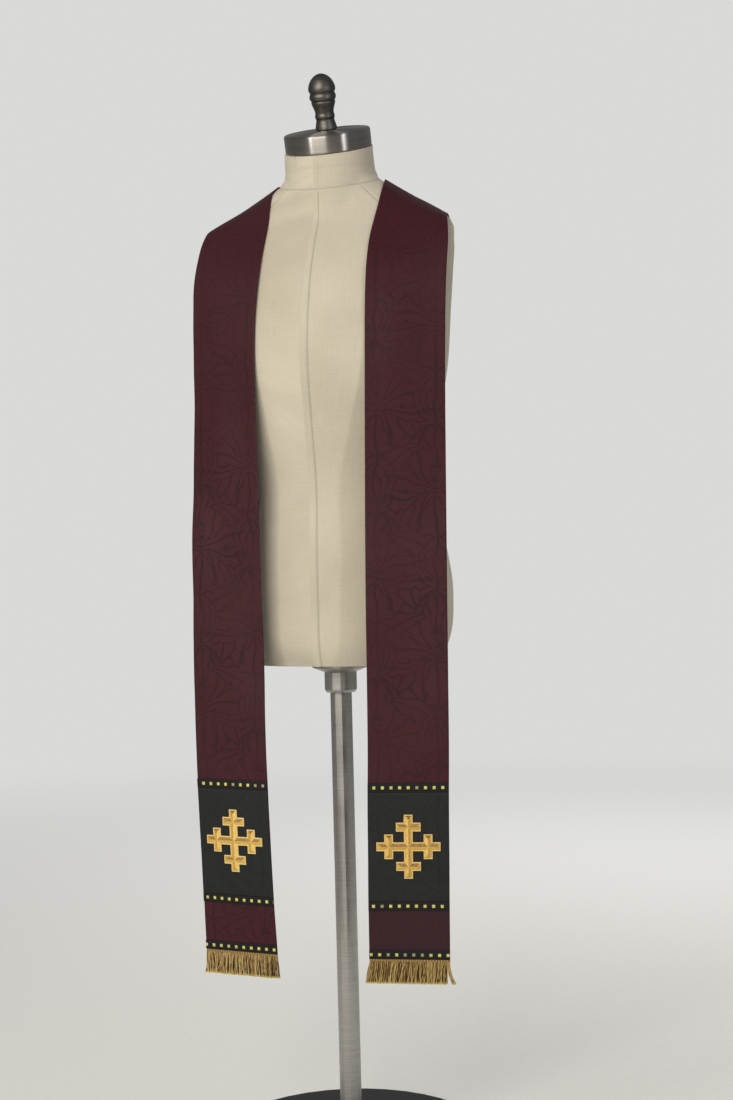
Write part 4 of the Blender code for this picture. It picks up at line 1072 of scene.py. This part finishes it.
CROSS_SPAN = 90 * MM
CROSS_BAR = 12.6 * MM
CROSSLET_SPAN = 34.8 * MM
CROSSLET_FROM_TIP = 17.4 * MM  # tip of an arm to the middle of its small bar
CROSS_RISE = {"left": 0.7 * MM, "right": 2.3 * MM}  # of each cross above the middle of its panel
CORD_RADIUS = 0.85 * MM
CORD_FOOT, CORD_TOP, SATIN_FOOT, SATIN_RIDGE = 0.6 * MM, 1.45 * MM, 0.85 * MM, 2.0 * MM
# The grid lines over a bar lie these distances in from its edges, and LONG_PITCH apart along its middle.
FINE_STEPS = np.array([0, 0.2, 0.5, 0.85, 1.2, 1.5, 1.7, 2.3, 3.0, 3.9, 4.7, 5.5, 6.0, 6.3]) * MM
LONG_PITCH, CLOSEST_LINES = 0.9 * MM, 0.12 * MM
CREASE = 0.5 * MM  # half the width of the painted highlight where two bars' roofs meet
# CREASE_LIGHT is the painted highlight along a crease, and CORD_LIGHT the paleness of the cord's own thread.
CREASE_LIGHT, CORD_LIGHT = 1.1, 1.15
CROSS_LIGHT = {"left": 0.87, "right": 1.0}  # painted shade: the wearer's left cross is drawn deeper in colour, as it lies in less light
# Painted light and shade: how light each facet of a bar is drawn, for its shaded slope by the ridge and
# elsewhere, its lit slope, and the slopes at its first and last end. Its threads lie the other way past
# this inset, by the ridge. True is for a bar across the band and False for one along it.
FACET_LIGHT = {True: (0.42, 0.8, 0.97, 1.0, 0.8), False: (0.72, 0.88, 0.97, 0.34, 0.78)}
RIDGE_INSET = {True: 2.2 * MM, False: 4.3 * MM}

half, bar, small_half = CROSS_SPAN / 2, CROSS_BAR / 2, CROSSLET_SPAN / 2
small_middle = half - CROSSLET_FROM_TIP
# Each bar: the middle of it across and along the band, its half length, and whether it lies across.
CROSS_BARS = [(0.0, 0.0, half, True), (0.0, 0.0, half, False)]
CROSS_BARS += [(0.0, sign * small_middle, small_half, True) for sign in (-1, 1)]
CROSS_BARS += [(sign * small_middle, 0.0, small_half, False) for sign in (-1, 1)]

inwards = [(bar, -1), (small_half, -1), (small_middle - bar, 1), (small_middle + bar, -1), (half, -1)]
positive = [edge + sign * FINE_STEPS for edge, sign in inwards]
positive = np.concatenate([*positive, even(bar, small_half - bar, LONG_PITCH)])
cross_lines = np.unique(np.round(np.concatenate([positive, -positive]), 6))
keep = np.concatenate([[True], np.diff(cross_lines) > CLOSEST_LINES])
edge_lines = np.array([0, bar, small_half, small_middle - bar, small_middle, small_middle + bar, half])
is_edge = np.min(np.abs(np.abs(cross_lines)[:, None] - edge_lines[None, :]), axis=1) < 1e-6
cross_lines = cross_lines[keep | is_edge]


def cross_surface(u, v):
    """Shape and threads of the cross at points u across the band and v down it from its middle.

    For each point: inset from the outline, height, place along its bar, place along the bar's nearest
    edge, and how light the facet is drawn, as painted light and shade, with a painted highlight on the
    creases.
    """
    inset = np.full(u.shape, -1.0)
    thread, edge_run, shade = np.zeros(u.shape), np.zeros(u.shape), np.ones(u.shape)
    winner_across, crease = np.zeros(u.shape, bool), np.zeros(u.shape, bool)
    for middle_u, middle_v, half_length, lies_across in CROSS_BARS:
        a, b = (u - middle_u, v - middle_v) if lies_across else (v - middle_v, u - middle_u)
        to_side, to_end = bar - np.abs(b), half_length - np.abs(a)
        here = np.minimum(to_side, to_end)
        wins = here > inset + 1e-7
        is_end = to_end < to_side
        thread = np.where(wins, a, thread)
        edge_run = np.where(wins, np.where(is_end, b, a), edge_run)
        ridge_light, slope_light, lit_light, first_light, last_light = FACET_LIGHT[lies_across]
        facet = np.where(here > RIDGE_INSET[lies_across], ridge_light, slope_light)
        facet = np.where(b < 0 if lies_across else b > 0, facet, lit_light)
        facet = np.where(is_end, np.where(a < 0, first_light, last_light), facet)
        tie = (np.abs(here - inset) < CREASE) & (np.minimum(here, inset) > 2 * CORD_RADIUS)
        crease = crease | (tie & (lies_across != winner_across))
        winner_across = np.where(wins, lies_across, winner_across)
        shade = np.where(wins, facet, shade)
        inset = np.where(wins, here, inset)
    on_cord = inset < 2 * CORD_RADIUS
    bulge = np.sqrt(np.clip(1 - ((inset - CORD_RADIUS) / CORD_RADIUS) ** 2, 0, 1))
    cord = CORD_FOOT + (CORD_TOP - CORD_FOOT) * bulge
    climb = np.clip((inset - 2 * CORD_RADIUS) / (bar - 2 * CORD_RADIUS), 0, 1)
    satin = SATIN_FOOT + (SATIN_RIDGE - SATIN_FOOT) * climb**0.85
    # The cord keeps its own pale thread, and the creases get their painted highlight.
    shade = np.where(on_cord, CORD_LIGHT, np.where(crease, CREASE_LIGHT, shade))
    return inset, np.where(on_cord, cord, satin), thread, edge_run, shade


embroidery, tree, shader = start_material("gold_satin_stitch", Roughness=0.38, IOR=1.5, Metallic=0.25)
# Passing thread, gilt strip wound on silk, laid side by side 0.35 mm apart and drawn at 0.8 mm. Facets
# whose threads turn away from the light have painted shade in olive brown, the hollows between threads
# have painted shade too, and the couched cord is the palest.
stitch = add(tree, "SeparateXYZ", {0: add(tree, "Attribute", attribute_name="stitch").outputs["Vector"]})
shade = add(tree, "Attribute", attribute_name="shade").outputs["Fac"]
cut = add(tree, "Attribute", attribute_name="cut").outputs["Vector"]
laid = threads(tree, stitch.outputs["X"], 0.8 * MM)
slant = add(tree, "Math", {0: stitch.outputs["Y"], 1: stitch.outputs["Z"]}, operation="ADD")
twist = threads(tree, slant, 1.3 * MM)
on_cord = add(tree, "Math", {0: stitch.outputs["Z"], 1: 2 * CORD_RADIUS}, operation="LESS_THAN")
relief = add(tree, "MixRGB", {0: on_cord, 1: laid, 2: twist})
uneven = add(tree, "TexNoise", {"Vector": cut, "Scale": 420.0, "Detail": 4.0, "Roughness": 0.7})
tone = add(tree, "MapRange", {0: uneven, 1: 0.3, 2: 0.7, 3: -0.22, 4: 0.22})
tone = add(tree, "Math", {0: tone, 1: shade}, operation="ADD")
tint = add(tree, "ValToRGB", {0: tone}, ramp={0.25: "6a4d20", 0.62: "b8923f", 1.0: "deb75f"})
# The cord's own pale thread, made less pale by the painted shade of the deeper cross.
paleness = add(tree, "MapRange", {0: shade, 1: 0.9, 2: CORD_LIGHT, 3: 0.2, 4: 1.0})
paleness = add(tree, "Math", {0: paleness, 1: on_cord}, operation="MULTIPLY")
tint = add(tree, "MixRGB", {0: paleness, 1: tint, 2: linear("ebcf86")})
# Painted shade: darker in the hollows between laid threads and in the grooves of the cord's twist.
deep = add(tree, "MapRange", {0: relief, 1: 0.0, 2: 0.5, 3: 0.72, 4: 1.0})
tint = add(tree, "MixRGB", {0: 1.0, 1: tint, 2: deep}, blend_type="MULTIPLY")
skin = add(tree, "Bump", {"Height": relief, "Strength": 0.6, "Distance": 0.2 * MM})
connect(tree, shader, {"Base Color": tint, "Normal": skin})

ON_PANEL = ON_BAND + PANEL_WALL + GAP

for side in SIDES:
    middle_length = BAND_LENGTH - (TOP_BRAID_ABOVE_HEM + MID_BRAID_ABOVE_HEM) / 2 - CROSS_RISE[side]
    grid, normals = band_skin(side, middle_length + cross_lines, cross_lines / BAND_WIDTH)
    u, v = np.meshgrid(cross_lines, cross_lines)
    inset, height, thread, edge_run, shade = cross_surface(u, v)
    middles = (cross_lines[:-1] + cross_lines[1:]) / 2
    cells = cross_surface(*np.meshgrid(middles, middles))[0] > 0
    size = len(cross_lines)
    low_number, high_number = {}, {}
    points, faces, values = [], [], []

    def cross_point(numbers, i, j, lift):
        """The number of the point over grid lines i and j, which is made the first time it is asked for."""
        if (i, j) not in numbers:
            numbers[i, j] = len(points)
            points.append(grid[i, j] + normals[i, j] * lift)
            values.append((i, j))
        return numbers[i, j]

    for i, j in zip(*np.nonzero(cells)):
        spots = [(i, j), (i, j + 1), (i + 1, j + 1), (i + 1, j)]
        bottom = [cross_point(low_number, a, b, ON_PANEL) for a, b in spots]
        top = [cross_point(high_number, a, b, ON_PANEL + height[a, b]) for a, b in spots]
        ordered = [bottom[::-1], top]
        # A wall stands on each side where the next cell isn't part of the cross.
        for k, (di, dj) in enumerate(((-1, 0), (0, 1), (1, 0), (0, -1))):
            a, b = i + di, j + dj
            inside = 0 <= a < size - 1 and 0 <= b < size - 1 and cells[a, b]
            if not inside:
                ordered.append([bottom[k], bottom[(k + 1) % 4], top[(k + 1) % 4], top[k]])
        faces += [tuple(face if SIDES[side] < 0 else face[::-1]) for face in ordered]
    picked = tuple(np.array(values).T)
    cut = np.stack([u[picked], v[picked], np.full(len(points), SIDES[side])], 1)
    stitch = np.stack([thread[picked], edge_run[picked], inset[picked]], 1)
    # shade carries each facet's painted light and shade, made darker on the wearer's left cross.
    attributes = {"cut": cut, "stitch": stitch, "shade": shade[picked] * CROSS_LIGHT[side]}
    cross = make_piece(
        f"embroidered_cross_{side}", points, faces, [embroidery], attributes, sharp=60.0
    )
    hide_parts(f"cross_{side}")
    sewn_on[side].append(cross)

# --------------------------------------------------------------------------------------------- fringes
# A gold bullion fringe is sewn under each hem: twisted cords hang in five ranks from a narrow woven
# heading, leaning and crossing where they have been handled, with their ends cut level.

STRAND_LENGTH = 31 * MM
HEADING_HEIGHT, HEADING_WALL = 4 * MM, 1 * MM
HEADING_RIB = 2 * math.pi * 0.64 * MM  # 4 mm from rib to rib
HEADING_RELIEF = 0.15 * MM
ROOT_TUCK = 0.6 * MM  # how far up inside the heading the strands start
FRINGE_FLARE = {"left": 1.03, "right": 1.025}  # how much wider each fringe spreads at its cut ends
FRINGE_LEAN = {"left": -3.6 * MM, "right": 0.3 * MM}  # how far the cut ends hang outwards of the roots
FRINGE_DISORDER = {"left": 1.9, "right": 2.8}  # usual lean of a strand out of line, in millimetres
LEAN_PAST_EDGE = 0.6 * MM  # the furthest that a strand leans past the band's edge
ROOT_LIGHT = {"left": 0.08, "right": 0.3}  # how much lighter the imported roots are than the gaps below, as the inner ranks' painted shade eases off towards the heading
SPECKLE = 0.17  # usual change of tone from step to step down a strand
LOOSE_FROM = {"left": 0.466, "right": 1.0}  # past this place the strands have come loose and curl outwards, painted light as they hang clear of the rest
FRINGE_SEED = {"left": 7, "right": 11}
# lift is from the band's middle, lightness is each rank's painted light and shade, and freedom is how far a
# strand may lean. The inner ranks are painted dark, as they lie in the shade of the outer ones.
Rank = namedtuple("Rank", "lift count lightness radius freedom")
RANKS = [
    Rank(-0.5 * MM, 150, 0.0, 0.64 * MM, 0.1),
    Rank(0.0, 120, 0.1, 0.62 * MM, 0.5),
    Rank(0.5 * MM, 84, 0.42, 0.56 * MM, 1.0),
    Rank(1.1 * MM, 78, 0.78, 0.56 * MM, 1.0),
    Rank(-1.1 * MM, 84, 0.62, 0.66 * MM, 0.7),
]
STRAND_STEPS, STRAND_SIDES = 7, 4
LEAN_WAVES = 4  # slow waves that a rank's strands lean in, one over another
WAVE_TURN = 6.28  # radians in one turn of such a wave

bullion, tree, shader = start_material("gilt_bullion", Roughness=0.42, IOR=1.5, Metallic=0.2)
# Old gilt cord: browned gold, with purple brown painted shade deep in the fringe and in the grooves of its
# twist, and bright where it has been cut. The twist is 0.6 mm a turn, drawn at 1.6 mm.
tone, along, around = (
    add(tree, "Attribute", attribute_name=key).outputs["Fac"] for key in ("tone", "along", "around")
)
spin = add(tree, "Math", {0: along, 1: 2 * math.pi / 1.6, 2: around}, operation="MULTIPLY_ADD")
spin = add(tree, "Math", {0: spin}, operation="SINE")
# Painted shade in the grooves of the twist.
groove = add(tree, "MapRange", {0: spin, 1: -1.0, 2: 0.2, 3: 0.5, 4: 1.0})
tint = add(tree, "ValToRGB", {0: tone}, ramp={0.0: "2a1a1a", 0.5: "8f7039", 1.0: "e2c584"})
strand_end = STRAND_LENGTH / MM
near_end = add(tree, "MapRange", {0: along, 1: strand_end - 3.2, 2: strand_end - 1.6})
cut_end = add(tree, "Math", {0: near_end, 1: 0.8}, operation="MULTIPLY")
tint = add(tree, "MixRGB", {0: cut_end, 1: tint, 2: linear("e6d274")})
tint = add(tree, "MixRGB", {0: 1.0, 1: tint, 2: groove}, blend_type="MULTIPLY")
skin = add(tree, "Bump", {"Height": spin, "Strength": 0.5, "Distance": 0.15 * MM})
connect(tree, shader, {"Base Color": tint, "Normal": skin})


def heading_relief(lengths, places):
    """Ribs of the woven heading with painted shade between them, and values that colour it as the roots of
    the strands.
    """
    wave = np.sin(2 * math.pi * places * BAND_WIDTH / HEADING_RIB)
    return HEADING_RELIEF * wave, {"tone": 0.5 + 0.2 * wave, "along": 0 * wave, "around": 0 * wave}


top, foot = BAND_LENGTH + GAP, BAND_LENGTH + GAP + HEADING_HEIGHT
low = (BAND_WALL - HEADING_WALL) / 2
heading_rows = rolled_rows(top, foot, HEADING_WALL / 2, 1.5 * MM)
heading_places = rolled_places(HEADING_WALL / 2, np.linspace(-0.5, 0.5, 58))
root_places = np.linspace(-0.495, 0.495, 100)
strand_angles = np.arange(STRAND_SIDES) * (2 * math.pi / STRAND_SIDES)
strand_faces = grid_faces(STRAND_STEPS + 1, STRAND_SIDES, closed_round=True)
strand_faces.append(tuple(range(STRAND_SIDES - 1, -1, -1)))
strand_faces.append(tuple(range(STRAND_STEPS * STRAND_SIDES, (STRAND_STEPS + 1) * STRAND_SIDES)))

for side in SIDES:
    heading = make_strip(
        f"fringe_heading_{side}", side, heading_rows, heading_places, low, low + HEADING_WALL, [bullion],
        relief=heading_relief,
    )
    sewn_on[side].append(heading)
    chance = random.Random(FRINGE_SEED[side])
    grid, normals = band_skin(side, [top, foot - ROOT_TUCK], root_places)
    middle_normal = normals[1, len(root_places) // 2]
    sideways = grid[1, -1] - grid[1, 0]
    across = sideways / np.linalg.norm(sideways)
    points, faces, values = [], [], []
    for rank in RANKS:
        lean_waves = []  # rate along the fringe, phase, and size in millimetres
        for _ in range(LEAN_WAVES):
            rate, phase = chance.uniform(3, 14), chance.uniform(0, WAVE_TURN)
            lean_waves.append((rate, phase, chance.uniform(0.3, 1.0)))
        for k in range(rank.count):
            place = (k + 0.5) / rank.count - 0.5 + chance.uniform(-0.002, 0.002)
            root = np.array([np.interp(place, root_places, grid[1, :, axis]) for axis in range(3)])
            root = root + middle_normal * (BAND_WALL / 2 + rank.lift)
            lean = sum(
                size * math.sin(rate * place * WAVE_TURN + phase) for rate, phase, size in lean_waves
            )
            lean = (lean + chance.gauss(0, FRINGE_DISORDER[side])) * rank.freedom * MM
            lean = min(lean, (0.5 - place) * BAND_WIDTH + LEAN_PAST_EDGE)
            lean = max(lean, -(0.5 + place) * BAND_WIDTH - LEAN_PAST_EDGE) + FRINGE_LEAN[side]
            flare = (FRINGE_FLARE[side] - 1) * place * BAND_WIDTH
            out = chance.uniform(-0.8, 0.8) * MM + rank.lift * 0.8
            length = STRAND_LENGTH * chance.uniform(0.975, 1.015)
            bow = chance.uniform(-1.6, 1.6) * rank.freedom * MM
            tone = min(1.0, max(0.0, chance.gauss(rank.lightness, 0.3 * rank.freedom)))
            if place > LOOSE_FROM[side]:
                lean, bow, tone = chance.uniform(3.0, 9.5) * MM, -1.2 * MM, 0.95
            radius = rank.radius * chance.uniform(0.85, 1.1)
            start = len(points)
            for step in range(STRAND_STEPS + 1):
                t = step / STRAND_STEPS  # 0 at the root and 1 at the cut end
                move = across * (lean * t**1.2 + flare * t**1.5 + bow * math.sin(math.pi * t))
                move = move + middle_normal * out * t - np.array([0, 0, 1.0]) * length * t
                thick = radius * (0.85 + 0.3 * t)
                # Each step's tone: the rank's painted light and shade with a random speckle, and lighter at
                # the roots.
                seen = tone + chance.gauss(0, SPECKLE) * rank.freedom
                seen = seen + ROOT_LIGHT[side] * (1 - t) ** 3 * (1 - rank.lightness)
                for angle in strand_angles:
                    ring = across * math.cos(angle) + middle_normal * math.sin(angle)
                    points.append(root + move + ring * thick)
                    values.append((min(1.0, max(0.0, seen)), t * strand_end, angle))
            faces += [tuple(start + number for number in face) for face in strand_faces]
    attributes = dict(zip(("tone", "along", "around"), np.array(values).T))
    fringe = make_piece(f"bullion_fringe_{side}", points, faces, [bullion], attributes, 50.0)
    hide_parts(f"fringe_{side}")
    sewn_on[side].append(fringe)
